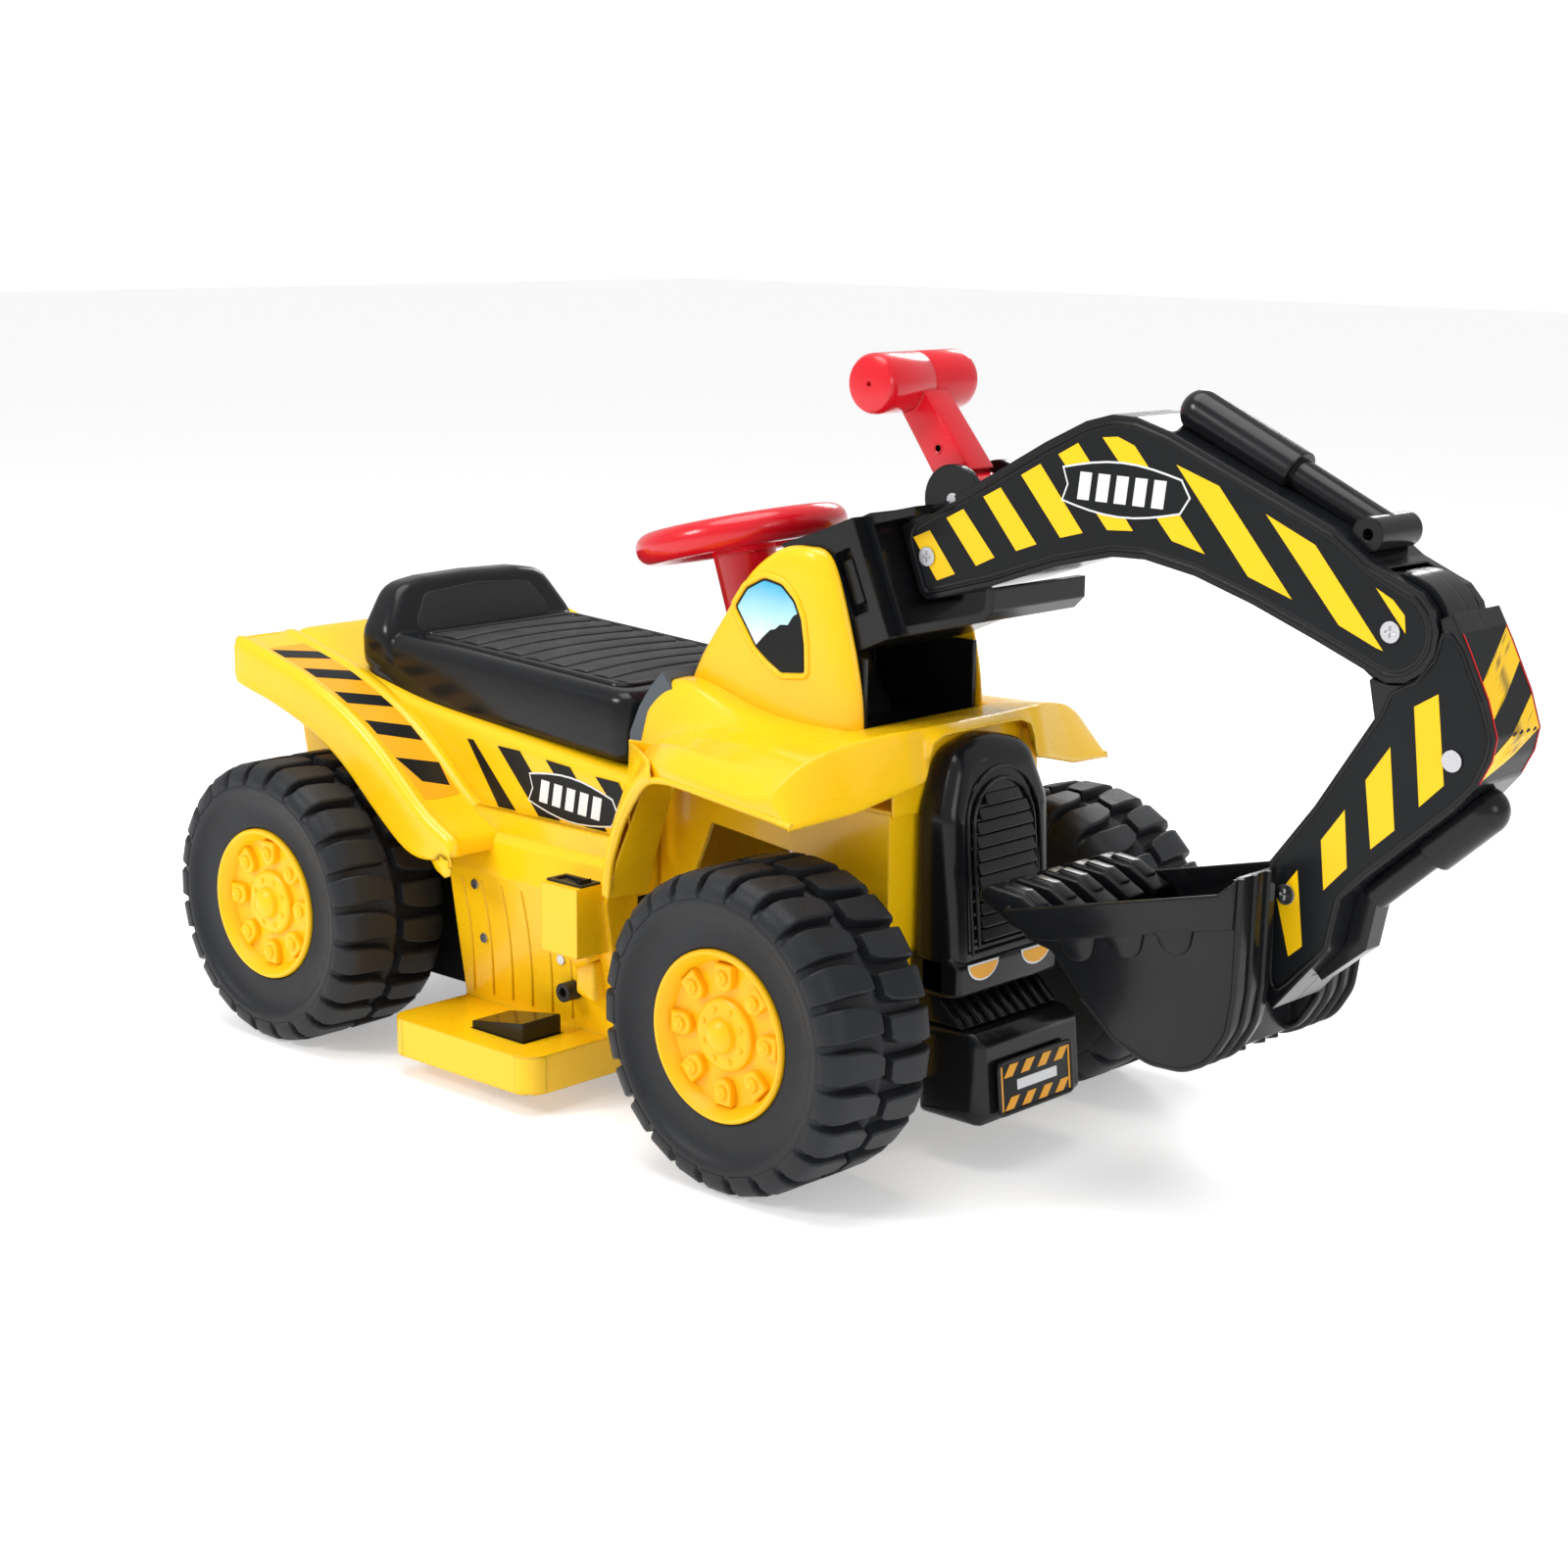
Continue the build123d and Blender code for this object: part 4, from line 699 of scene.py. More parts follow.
# ---- hood --------------------------------------------------------------------------------------------
def between(value, pairs):
    """The height of a bent line at a value."""
    if value <= pairs[0][0]:
        return pairs[0][1]
    for (x0, y0), (x1, y1) in zip(pairs, pairs[1:]):
        if value <= x1:
            return y0 + (y1 - y0) * (value - x0) / (x1 - x0)
    return pairs[-1][1]


def hood_rim_y(x):
    return between(x, [(-90, 90), (-84, 96), (-72, 106), (-62, 113), (-50, 121), (-36, 129), (-20, 136),
                       (-4, 139), (22, 142), (47, 143.3), (60, 143.5), (90, 143.5)])


def hood_front_x(y):
    return 106 - 17.0 * max(0.0, (abs(y) - 60) / 83) ** 0.9


def eased(value, low, high):
    """0 below low, 1 above high, and a smooth rise between."""
    share = max(0.0, min(1.0, (value - low) / (high - low)))
    return share * share * (3 - 2 * share)


def hood_height(x, y):
    """The hood's top: a cowl round the pillar's foot, a wing outside it and a soft roll along its edge."""
    edge = hood_rim_y(x)
    cowl = between(x, [(-90, 252), (-80, 261), (-68, 265), (-52, 263), (-32, 257), (-10, 251), (20, 248),
                       (58, 248), (106, 254)])
    wing = between(x, [(-90, 219), (-75, 226), (-58, 234), (-42, 239), (-20, 242), (20, 242), (60, 242),
                       (106, 244)])
    rim = between(x, [(-90, 210), (-80, 214), (-68, 219), (-55, 223), (-35, 226), (-15, 228), (10, 226),
                      (35, 223.5), (60, 222), (80, 228), (106, 231)])
    step_at = between(x, [(-90, 84), (-60, 86), (0, 92), (60, 110)])
    height = cowl + (wing - cowl) * eased(y, 64 if x > 0 else 76, step_at + (24 if x > 0 else 8))
    out = max(0.0, (y - (edge - 42)) / 42)
    height -= (wing - rim) * min(1.0, out) ** 2.2
    roll = math.exp(-((y - edge + 9) / 5.5) ** 2) * between(x, [(-90, 0), (-60, 3.2), (10, 3.6), (48, 1.6),
                                                                (66, 0)])
    return height + roll


def hood_drop(y):
    """How low the hood's front skirt comes."""
    return between(y, [(0, 249.5), (47.6, 249.5), (49, 225), (60, 223), (100, 213), (143, 209)])


def lip_z(x):
    return between(x, [(-92, 196), (-75, 200), (-60, 209), (-49, 210), (-36, 215), (-21, 218.5), (-4, 218.5),
                       (22, 217), (47, 214.5), (71, 212), (88, 209.5)])


HOOD_INNER_Y, HOOD_OUTER_Y = 61.5, 143.5


def hood_rows():
    shares = [k / 18 for k in range(19)]
    rows = []
    for x in (-90, -84, -77, -70, -62, -54, -45, -36, -26, -14, 0, 14, 28, 42, 52, 58, 63):
        edge = hood_rim_y(x)
        row = [(x, HOOD_INNER_Y + (edge - HOOD_INNER_Y) * share) for share in shares]
        row = [(px, py, hood_height(px, py)) for px, py in row]
        rows.append(row + hood_side(row[-1]))
    for share in (0.35, 0.7, 0.94, 1.0):
        row = []
        for y_share in shares:
            y = HOOD_INNER_Y + (HOOD_OUTER_Y - HOOD_INNER_Y) * y_share
            x = 63 + (hood_crease_x(y) - 63) * share
            row.append((x, y, hood_height(x, y)))
        rows.append(row + hood_side(row[-1]))
    for fall in (0.1, 0.5, 0.92, 1.0):
        row = [hood_front_point(place, fall) for place in rows[20][:19]]
        rows.append(row + hood_side(row[-1]))
    rows.append([(x - 0.8, y, z - 1.8) for x, y, z in rows[-1]])
    return rows


def hood_crease_x(y):
    """Where the hood's top turns down into its front facet."""
    return hood_front_x(y) - between(y, [(50, 7), (61.5, 8), (100, 15), (143.5, 17)])


def hood_front_point(place, fall):
    x, y, z = place
    return x + (hood_front_x(y) - x) * fall, y, z + (hood_drop(abs(y)) - z) * fall ** 1.15


def hood_side(place):
    """The wing's upright side below one point of its rim."""
    x, y, top = place
    low = min(lip_z(x), top - 0.3)
    drop = min(2.0, 0.5 * (top - low))
    return [(x, y + 0.6, top - drop), (x, y + 0.9, (top + low) / 2), (x, y + 0.9, low + 0.1)]


def nose_deck_rows():
    """The hood between the wings, in front of the open cab."""
    columns = (-61.5, -58, -53, -49, -47.6, -25, 0, 25, 47.6, 49, 53, 58, 61.5)
    rows = [[(x, y, hood_height(x, HOOD_INNER_Y)) for y in columns] for x in (58, 63)]
    for share in (0.35, 0.7, 0.94, 1.0):
        row = [(63 + (hood_crease_x(abs(y)) - 63) * share, y) for y in columns]
        rows.append([(x, y, hood_height(x, HOOD_INNER_Y)) for x, y in row])
    for fall in (0.1, 0.5, 0.92, 1.0):
        rows.append([hood_front_point(place, fall) for place in rows[5]])
    rows.append([(x - 0.8, y, z - 1.8) for x, y, z in rows[-1]])
    return rows


wing = grid(hood_rows())
wings = joined(wing, other_side(wing), grid(nose_deck_rows()))
make("hood_shell_wings", welded(wings), "chassis", "body_yellow", stands_for=["hood_shell"], thick=2.2,
     subdivide=1, smooth=55)
apron = plate([(-66, 203), (-66, 240), (-58, 247.5), (58, 247.5), (66, 240), (66, 203)], 92.6, 94.6, 0.8, "x",
              corner=3)
apron_end = plate([(60, 222), (60, 240), (100, 240), (100, 222)], 49.5, 51.5, 0.6)
apron = joined(apron, plate([(92, 204), (58, 204), (58, 207), (92, 207)], -66, 66, 0.6), apron_end,
               plate([(60, 222), (60, 240), (100, 240), (100, 222)], -51.5, -49.5, 0.6))
make("hood_shell_apron", apron, "chassis", "body_yellow")


def pillar_rings():
    """The cab pillar as stacked plan sections, flat outside and swept round to the front."""
    levels = [(238, -80, 62, 62.6), (248, -79, 62, 62.4), (256, -76, 61.6, 62), (265, -72, 60.8, 62),
              (278, -65, 58.5, 62), (292, -55, 55, 62), (304, -46, 51.5, 62), (318, -36, 47, 62),
              (331, -26, 42.5, 61.8), (340, -14, 38.5, 61.3), (345.5, -5, 34, 60.2), (348.3, 3, 29, 58.5),
              (349, 9, 24, 56.5)]
    verts = []
    for height, rear, front, outer in levels:
        length = front - rear
        sweep, nib = min(32.0, 0.5 * length), min(6.0, 0.2 * length)
        ring = [(rear, 51), (rear, 56), (rear + 0.25 * nib, outer - 3.0), (rear + nib, outer - 0.6),
                (rear + 2 * nib, outer)]
        start = front - sweep
        ring += [(rear + 2 * nib + (start - rear - 2 * nib) * share, outer) for share in (0.35, 0.7, 1.0)]
        for share in (0.25, 0.45, 0.62, 0.76, 0.88, 0.96, 1.0):
            ring.append((start + sweep * share, 51 + (outer - 51) * math.sqrt(max(0.0, 1 - share ** 2.6))))
        ring += [(front - 0.33 * length, 51), (front - 0.66 * length, 51)]
        verts += [(x, y, height) for x, y in ring]
    return ringed(verts, len(ring))


both("hood_shell_pillar", pillar_rings(), "chassis", "body_yellow", subdivide=1, smooth=48)

WINDOW = rounded_corners([(-33, 310), (-24, 322), (-10, 329), (4, 326.5), (14, 318), (19, 308), (21.5, 293),
                          (22, 277), (4, 275), (-7, 281), (-17, 288)], [3, 8, 10, 9, 9, 9, 9, 2, 5, 6, 6])
both("cab_window_rim", tube([(x, 62.1, z) for x, z in moved_in(WINDOW, -2.2)], 1.9, closed=True, flatten=0.7),
     "chassis", "body_yellow")
both("cab_window_border", lid(WINDOW, 62.0, 0.25), "chassis", "body_yellow", material=film_black)
both("cab_window_sky", lid(moved_in(WINDOW, 1.3), 62.2, 0.2), "chassis", "body_yellow", material=film_sky)
both("cab_window_hill", lid([(-16, 289), (-11, 294), (-5, 299), (-1, 300), (3, 303), (9, 303.5), (13, 309),
                             (18.5, 312), (20.6, 300), (21, 278), (4.5, 276.2), (-7, 282)], 62.35, 0.2),
     "chassis", "body_yellow", material=film_black)

ARCH_LIP = [(-74.5, 127, 138), (-72, 127, 158), (-67, 127, 173), (-60, 128, 187), (-49, 130, 202),
            (-36, 133, 214), (-21, 136, 218), (-4, 138.5, 218.5), (22, 141.8, 217), (47, 143, 214.5),
            (71, 143.6, 212), (88, 143.4, 209.5)]
both("hood_shell_arch_lip", tube(smooth_path(ARCH_LIP), 2.2, flatten=0.9), "chassis", "body_yellow")


def arch_leg_rows():
    """The rear leg of the front arch: a band behind the lip that turns in to meet the body."""
    lip = [(-74.5, 127, 138), (-73.4, 127, 148), (-72, 127, 158), (-67, 127, 173), (-60, 128, 187),
           (-52, 129.5, 198), (-46, 130.5, 205), (-40, 131.5, 210), (-34, 133.2, 214), (-26, 135, 217)]
    back = [(-81, 123, 136), (-80, 123, 148), (-79, 122.5, 160), (-76, 121, 178), (-72, 118, 194),
            (-68, 114, 206), (-65, 110, 217), (-60, 112, 222), (-48, 121.5, 225.5), (-34, 130, 227)]
    rows = []
    for (lx, ly, lz), (bx, by, bz) in zip(lip, back):
        rows.append([(lx, ly, lz), ((2 * lx + bx) / 3, ly + 0.3, (2 * lz + bz) / 3),
                     ((lx + 2 * bx) / 3, by + 2.2, (lz + 2 * bz) / 3), (bx, by, bz),
                     ((bx * 2 - 92) / 3, (by * 2 + 91) / 3, bz), (-91, 92, bz - 1)])
    return rows


both("hood_shell_arch_leg", grid(arch_leg_rows()), "chassis", "body_yellow", thick=2.2, subdivide=1,
     smooth=50)
leg_wall = plate([(-92, 133), (-92, 226), (-50, 228), (-40, 216), (-52, 204), (-62, 188), (-73, 160),
                  (-77, 138)], 91, 93, 0.8)
inner_wall = plate([(91, 134), (124, 136), (124, 160), (118, 200), (108, 222), (91, 222)], -78, -76, 0.8, "x")
inner_wall = bent(inner_wall, lambda x, y, z: (x + 0.34 * (z - 140), y, z))
both("hood_shell_arch_inner", joined(leg_wall, inner_wall), "chassis", "body_yellow")


# ---- rear body and fenders ---------------------------------------------------------------------------
DECK = [(-421, 257), (-417, 257), (-368, 238), (-290, 222.5), (-95, 203)]


def rear_body_rows():
    """The yellow body under the seat, as cross sections from side to side."""
    rows = []
    for x in (-420, -414, -400, -384, -368, -350, -320, -290, -250, -200, -150, -110, -98, -95.2):
        top = between(x, DECK) - 0.4
        low = between(x, [(-420, 226), (-405, 128), (-400, 125), (-95, 125)])
        half = [(90, low), (90, low + 6), (90, (low + top) / 2), (90, top - 12), (89.6, top - 6),
                (87.4, top - 1.8), (83, top), (60, top), (0, top)]
        full = [(-y, z) for y, z in half] + [(y, z) for y, z in reversed(half[:-1])]
        rows.append([(x, y, z) for y, z in full])
    return rows


rear_wall = plate([(-88, 226), (-88, 252), (88, 252), (88, 226)], -421, -418, 1.2, "x", corner=5)
front_wall = plate([(-87, 126), (-87, 200), (87, 200), (87, 126)], -98, -95.4, 1.0, "x")
make("rear_body_deck", grid(rear_body_rows()), "chassis", "body_yellow", stands_for=["rear_body_shell"],
     thick=2.6, subdivide=1, smooth=60)
low_rear_wall = plate([(-420.5, 229), (-418, 229), (-402.5, 126), (-405, 126)], -88.5, 88.5, 0.6)
make("rear_body_end_walls", joined(rear_wall, low_rear_wall, front_wall), "chassis", "body_yellow")

RIDGE = [(-421, 256.5), (-401, 251.5), (-381, 246.5), (-362, 242), (-343, 236), (-324, 228.5), (-304, 219.5),
         (-288, 210.5), (-272, 199.5), (-258, 188.5), (-246, 178.5), (-233, 168), (-220, 160), (-208, 155.5),
         (-202, 151.5), (-200.5, 146), (-200.5, 141.5)]
FENDER_LOW = [(-421, 226), (-379, 217), (-344, 206), (-311, 191), (-279, 163), (-248, 140), (-232, 136),
              (-201, 141)]


def fender_rows():
    """The fender as cross sections along its ridge, with a raised border along both edges of its top."""
    rows = []
    for index, (x, z) in enumerate(RIDGE):
        before, after = RIDGE[max(0, index - 1)], RIDGE[min(len(RIDGE) - 1, index + 1)]
        run = Vector((after[0] - before[0], after[1] - before[1])).normalized()
        up = Vector((-run.y, run.x))
        low = between(x, FENDER_LOW)
        row = []
        for y, lift in ((86, -1.5), (91, 0.4), (94, 1.0), (97, 0.6), (98.8, -0.9), (115, -0.9), (131.4, -0.9),
                        (133.2, 0.6), (135.5, 0.9), (138.2, -0.4), (139.6, -3.0)):
            row.append((x + up.x * lift, y, z + up.y * lift))
        side_top = z - 6
        for share in (0.12, 0.5, 0.85):
            row.append((x, 140, side_top + (min(low, side_top - 0.5) - side_top) * share))
        row.append((x, 141.2, min(low, side_top - 0.5)))
        rows.append(row)
    return rows


fender = grid(fender_rows())
tail_wall = plate(rounded_corners([(88, 228), (88, 255), (136, 255), (139.5, 250), (139.5, 228)], 3), -421,
                  -418, 1.2, "x")
both("rear_body_fender", fender, "chassis", "body_yellow", thick=2.6, subdivide=1, smooth=55)
both("rear_body_tail", tail_wall, "chassis", "body_yellow")


def on_fender(run, y, lift):
    """A point on the fender's top at a run along the ridge from the tail."""
    for first, second in zip(RIDGE, RIDGE[1:]):
        length = math.dist(first, second)
        if run <= length:
            break
        run -= length
    way = ((second[0] - first[0]) / length, (second[1] - first[1]) / length)
    return (first[0] + way[0] * run - way[1] * lift, y, first[1] + way[1] * run + way[0] * lift)


def fender_patch(corners, lift, steps=5):
    """A thin film on the fender between four (run, y) corners."""
    rows = []
    for level in (lift, lift + 0.25):
        for step in range(steps + 1):
            share = step / steps
            first = [corners[0][k] + (corners[1][k] - corners[0][k]) * share for k in (0, 1)]
            second = [corners[3][k] + (corners[2][k] - corners[3][k]) * share for k in (0, 1)]
            rows.append([on_fender(*first, level), on_fender(*second, level)])
    count = steps + 1
    verts = [point for row in rows for point in row]
    faces = []
    for step in range(steps):
        a = 2 * step
        b = a + 2 * count
        faces += [(a, a + 1, a + 3, a + 2), (b, b + 2, b + 3, b + 1), (a, a + 2, b + 2, b),
                  (a + 1, b + 1, b + 3, a + 3)]
    last = 2 * steps
    faces += [(0, 2 * count, 2 * count + 1, 1), (last, last + 1, last + 1 + 2 * count, last + 2 * count)]
    return verts, faces


both("fender_sticker", fender_patch([(26, 100), (205, 100), (205, 130), (26, 130)], -0.75, 24), "chassis",
     "body_yellow", material=film_amber)
fender_bars = [fender_patch([(30 + 34 * index + 12, 100.5), (44 + 34 * index + 12, 100.5),
                             (44 + 34 * index, 129.5), (30 + 34 * index, 129.5)],
                            -0.55) for index in range(4)]
fender_bars.append(fender_patch([(178, 100.5), (197, 104), (190, 122), (168, 129.5)], -0.55))
both("fender_sticker_bars", joined(*fender_bars), "chassis", "body_yellow", material=film_black)

BODY_BARS = [[(-243, 205), (-237, 205), (-191, 159), (-209, 159)], [(-214, 204.5), (-193, 204), (-150, 159),
                                                                    (-170, 159)],
             [(-169, 202), (-147, 200.5), (-110, 161), (-129, 161)], [(-124, 198), (-104, 197.5), (-98, 190),
                                                                      (-105, 179)]]
both("body_sticker_bars", joined(*[lid(bar, 90.0, 0.2) for bar in BODY_BARS]), "chassis", "body_yellow",
     material=film_black)


BADGE_TIP = 6.0


def badge_outline(centre, half_length, half_height):
    """A plain shield-like badge with pointed ends."""
    cx, cz = centre
    top = [(cx - half_length + 2 * half_length * k / 8,
            cz + half_height * (0.62 + 0.38 * math.sin(math.pi * k / 8)))
           for k in range(9)]
    low = [(x, 2 * cz - z) for x, z in reversed(top)]
    return top + [(cx + half_length + BADGE_TIP, cz)] + low + [(cx - half_length + BADGE_TIP * 0.6, cz)]


def badge(centre, half_length, half_height, turn, level):
    """White border, black field and a row of plain white slanted blocks."""
    border = badge_outline(centre, half_length, half_height)
    field = moved_in(border, 1.1)
    blocks = []
    for index in range(5):
        x = centre[0] - half_length * 0.72 + index * half_length * 0.31
        high = half_height * 0.5
        blocks.append(lid([(x, centre[1] - high), (x + half_length * 0.2, centre[1] - high),
                           (x + half_length * 0.24, centre[1] + high),
                           (x + half_length * 0.04, centre[1] + high)],
                          level + 0.5, 0.15))
    return [turned_at(shape, centre, turn) for shape in (lid(border, level + 0.15, 0.2),
                                                         lid(field, level + 0.35, 0.2), joined(*blocks))]


def place_badges(name, centre, half_length, half_height, turn, level, body, slot):
    shapes = badge(centre, half_length, half_height, turn, level)
    for label, shape, film in zip(("border", "field", "blocks"), shapes,
                                  (film_white, film_black, film_white)):
        both(f"{name}_{label}", shape, body, slot, material=film)


place_badges("body_badge", (-147, 180), 38, 14.5, -4, 90.0, "chassis", "body_yellow")


# ---- seat --------------------------------------------------------------------------------------------
SEAT_RISE = 0.053  # how much the seat rises for each millimetre towards the tail
SEAT_FRONT = -105


def seat_slope(x, y, z):
    """Tips the flat cushion up towards the rear, as the deck under it does."""
    rise = (SEAT_FRONT - x) * SEAT_RISE
    share = max(0.0, min(1.0, (z - 205) / 42))
    return x, y, z + rise + share * 1.5


cushion = plate([(-360, -83), (-360, 83), (-105, 83), (-105, -83)], 205.5, 248, 9.0, "z", corner=16, steps=5)
cushion = bent(cushion, lambda x, y, z: seat_slope(x, y * (1 - 0.03 * (z - 205) / 42), z))
back_rest = plate([(-83, 232), (-83, 262), (-64, 291), (-40, 294.5), (0, 295.5), (40, 294.5), (64, 291),
                   (83, 262), (83, 232)], -361, -336, 8.0, "x", corner=22, steps=5)
back_rest = bent(back_rest, lambda x, y, z: (x + 14 * max(0.0, (x + 361) / 25) * max(0.0, (285 - z) / 40), y,
                                             z))
make("seat_shell", joined(cushion, back_rest), "chassis", "black_moulding", stands_for=["seat"], smooth=50)


def seat_top(x):
    return 248 + (SEAT_FRONT - x) * SEAT_RISE + 1.5


MAT = [(-315, -66), (-315, 66), (-124, 66), (-124, -66)]
mat_rim = rounded_corners(MAT, 9)
make("seat_rim", tube([(x, y, seat_top(x) - 0.2) for x, y in mat_rim], 3.0, closed=True, flatten=0.8,
                      out=(0, 0, 1)),
     "chassis", "black_moulding")
mat = bent(plate(moved_in(mat_rim, 1.5), 0, 0.8, 0.3, "z"), lambda x, y, z: (x, y, seat_top(x) + z - 0.1))
make("seat_mat", mat, "chassis", "black_moulding", finish["black_grained"])


def mat_rib():
    """One bowed rib across the seat mat."""
    line = [(-8.0 * (1 - (y / 62.0) ** 2), y, 0) for y in range(-62, 63, 4)]
    return tube([(x, y, seat_top(x - 145) - seat_top(-145)) for x, y, _ in line], 8.6, flatten=0.2,
                out=(0, 0, 1), sides=14)


repeated("seat_mat_ribs", mat_rib(), 9, "chassis", "black_moulding", start=(-131, 0, seat_top(-131) + 0.6),
         step=(-20.5, 0, 20.5 * SEAT_RISE), material=finish["black_grained"])
pad = plate([(-58, 259), (-58, 268), (-46, 285), (0, 288), (46, 285), (58, 268), (58, 259)], 0, 2.0, 0.9, "x",
            corner=9)
pad = bent(pad, lambda x, y, z: (-336.6 + 14 * max(0.0, (285 - z) / 40) + x - 0.6, y, z))
make("seat_back_pad", pad, "chassis", "black_moulding", finish["black_grained"])


# ---- side panels -------------------------------------------------------------------------------------
def panel_face_y(z):
    return between(z, [(38, 98), (80, 104), (127, 111), (147, 105), (152, 100), (165, 100)])


panel_lines = []
for column in range(6):
    x = -229 + 18.5 * column
    line = [(x + 5.0 * math.sin(math.pi * (z - 44) / 98), panel_face_y(z) + 0.15, z) for z in range(44, 128,
                                                                                                    7)]
    panel_lines.append(tube(line, 0.75, flatten=0.8))
both("step_panel_ribs", joined(*panel_lines), "chassis", "body_yellow")
ledge_rib = plate([(93, 164.9), (93, 165.5), (98, 165.5), (98, 164.9)], -0.6, 0.6, 0.1, "x")
repeated("step_panel_ledge_right", other_side(ledge_rib), 52, "chassis", "body_yellow", start=(-234, 0, 0),
         step=(2.6, 0, 0))
repeated("step_panel_ledge_left", ledge_rib, 52, "chassis", "body_yellow", start=(-234, 0, 0),
         step=(2.6, 0, 0))
blocks = joined(plate([(-128, 96), (-128, 112), (-103, 112), (-103, 90), (-114, 84)], 100, 118, 3.0,
                      corner=4),
                plate([(-120, 66), (-120, 84), (-103, 90), (-103, 62)], 98, 112, 3.0, corner=4))
make("step_panel_blocks_right", other_side(blocks), "chassis", "body_yellow")
dimple = lathe([(0, 110.6), (1.4, 110.6), (2.2, 111.2), (2.6, 110.6), (2.6, 109), (0, 109)], (-141, 118), 18,
               closed=False)
both("step_panel_dimple", dimple, "chassis", "body_yellow")


corner = [(-119 + 14.15 * math.cos(math.radians(t)),
           149 + 14.15 * math.sin(math.radians(t))) for t in range(0, 91, 9)]
corner += [(-119 + 13.7 * math.cos(math.radians(t)),
            149 + 13.7 * math.sin(math.radians(t))) for t in range(90, -1, -9)]
rear_corner = [(-343 - x, y) for x, y in reversed(corner)]
both("step_panel_corners", joined(plate(corner, 14.5, 37.5, 0.05, "z", steps=1),
                                  plate(rear_corner, 14.5, 37.5, 0.05, "z", steps=1)), "chassis",
     "body_yellow")


# ---- grille and bumper -------------------------------------------------------------------------------
def grille_lean(x, y, z):
    """Leans the grille's front face back towards its top, and narrows it a little."""
    front = between(z, [(100, 128), (128, 128), (160, 126), (200, 121.5), (232, 117), (246, 112)])
    return 92 + (x - 92) * (front - 92) / 36.0, y, z


grille_front = rounded_corners([(-47, 100), (-47, 205), (-33, 239), (0, 246.5), (33, 239), (47, 205),
                                (47, 100)],
                               [1, 26, 22, 60, 22, 26, 1], 6)
make("front_grille_hood", bent(plate(grille_front, 92, 128, 11.0, "x", steps=6), grille_lean), "chassis",
     "black_moulding", stands_for=["front_grille"], smooth=50)


def arch_outline(half, low, high):
    return [(-half, low), (-half, high - half)] + [
        (-half * math.cos(math.radians(turn)), high - half + half * math.sin(math.radians(turn)))
        for turn in range(15, 180, 15)] + [(half, high - half), (half, low)]


def grille_x(z):
    return grille_lean(128, 0, z)[0]


for label, half, low, high, size in (("outer", 33, 124, 228, 1.1), ("inner", 27.5, 128, 221, 1.3)):
    line = [(grille_x(z) + 0.1, y, z) for y, z in arch_outline(half, low, high)]
    make(f"grille_border_{label}", tube(line, size, closed=True, out=(1, 0, 0)), "chassis", "black_moulding")
louvres = []
for step in range(11):
    low = 130.5 + 7.7 * step
    half = 25.5 if low < 190 else math.sqrt(max(16.0, 25.5 ** 2 - (low + 6 - 193.5) ** 2)) - 0.5
    shape = plate([(0, low), (0, low + 6.4), (1.0, low + 6.2), (3.0, low + 0.8), (2.6, low)], -half, half,
                  0.5)
    louvres.append(bent(shape, lambda x, y, z: (grille_x(z) - 0.4 + x, y, z)))
make("grille_louvres", joined(*louvres), "chassis", "black_moulding", finish["black_component"])

bumper = plate([(100, 27), (148, 27), (154, 34), (150, 76), (142, 81), (100, 81)], -47, 47, 5.0, corner=5,
               steps=4)
bumper = bent(bumper, lambda x, y, z: (x - 10 * max(0.0, (abs(y) - 34) / 13) ** 2 * (1 if x > 120 else 0), y,
                                       z))
band = plate([(92, 98), (92, 123), (121, 123.5), (129, 118), (129, 100), (120, 98)], -47, 47, 4.0, corner=4,
             steps=4)
slope = plate([(92, 82), (92, 99), (112, 99), (131, 82)], -45, 45, 2.0)
make("front_bumper_block", joined(bumper, band, slope), "chassis", "black_moulding",
     stands_for=["front_bumper"], smooth=50)
rib = turned_at(plate([(-13, -1.2), (-13, 1.6), (13, 1.6), (13, -1.2)], -2.1, 2.1, 0.9), (0, 0), -42)
repeated("front_bumper_ribs", rib, 9, "chassis", "black_moulding", start=(121.8, -37.6, 90.8),
         step=(0, 9.4, 0))
plate_rim = rounded_corners([(-36, 34), (-36, 64), (31, 64), (31, 34)], 3)


BUMPER_LEAN, PLATE_FOOT = 0.095, 34


def on_bumper(shape, lift):
    return bent(shape, lambda x, y, z: (153.6 - (z - PLATE_FOOT) * BUMPER_LEAN + x + lift, y, z))


def bumper_bar(left, right, low, high, slant=0):
    """A printed bar on the number plate's field. Its top leans to the side by the slant."""
    outline = [(left, low), (right, low), (right + slant, high), (left + slant, high)]
    return on_bumper(plate(outline, 0, 0.3, 0.05, "x", steps=1), 0.25)


make("number_plate", on_bumper(plate(plate_rim, 0, 0.4, 0.1, "x"), -0.05), "chassis", "black_moulding",
     film_black)
make("number_plate_rim", tube([(153.7 - (z - PLATE_FOOT) * BUMPER_LEAN, y, z) for y, z in plate_rim], 1.3,
                              closed=True, out=(1, 0, 0)),
     "chassis", "black_moulding")
hazard = []
for index in range(4):
    for low, high, shift in ((55, 62, 6), (36, 43, 6)):
        y = -32 + 15.5 * index
        hazard.append(bumper_bar(y, y + 8, low, high, shift))
hazard += [bumper_bar(28, 29.5, 36, 62), bumper_bar(-34.5, -33, 36, 62)]
make("number_plate_bars", joined(*hazard), "chassis", "black_moulding", film_amber)
make("number_plate_blank", on_bumper(plate([(-20, 46), (-20, 52), (17, 52), (17, 46)], 0, 0.3, 0.05, "x",
                                           steps=1),
                                     0.25), "chassis", "black_moulding", film_white)
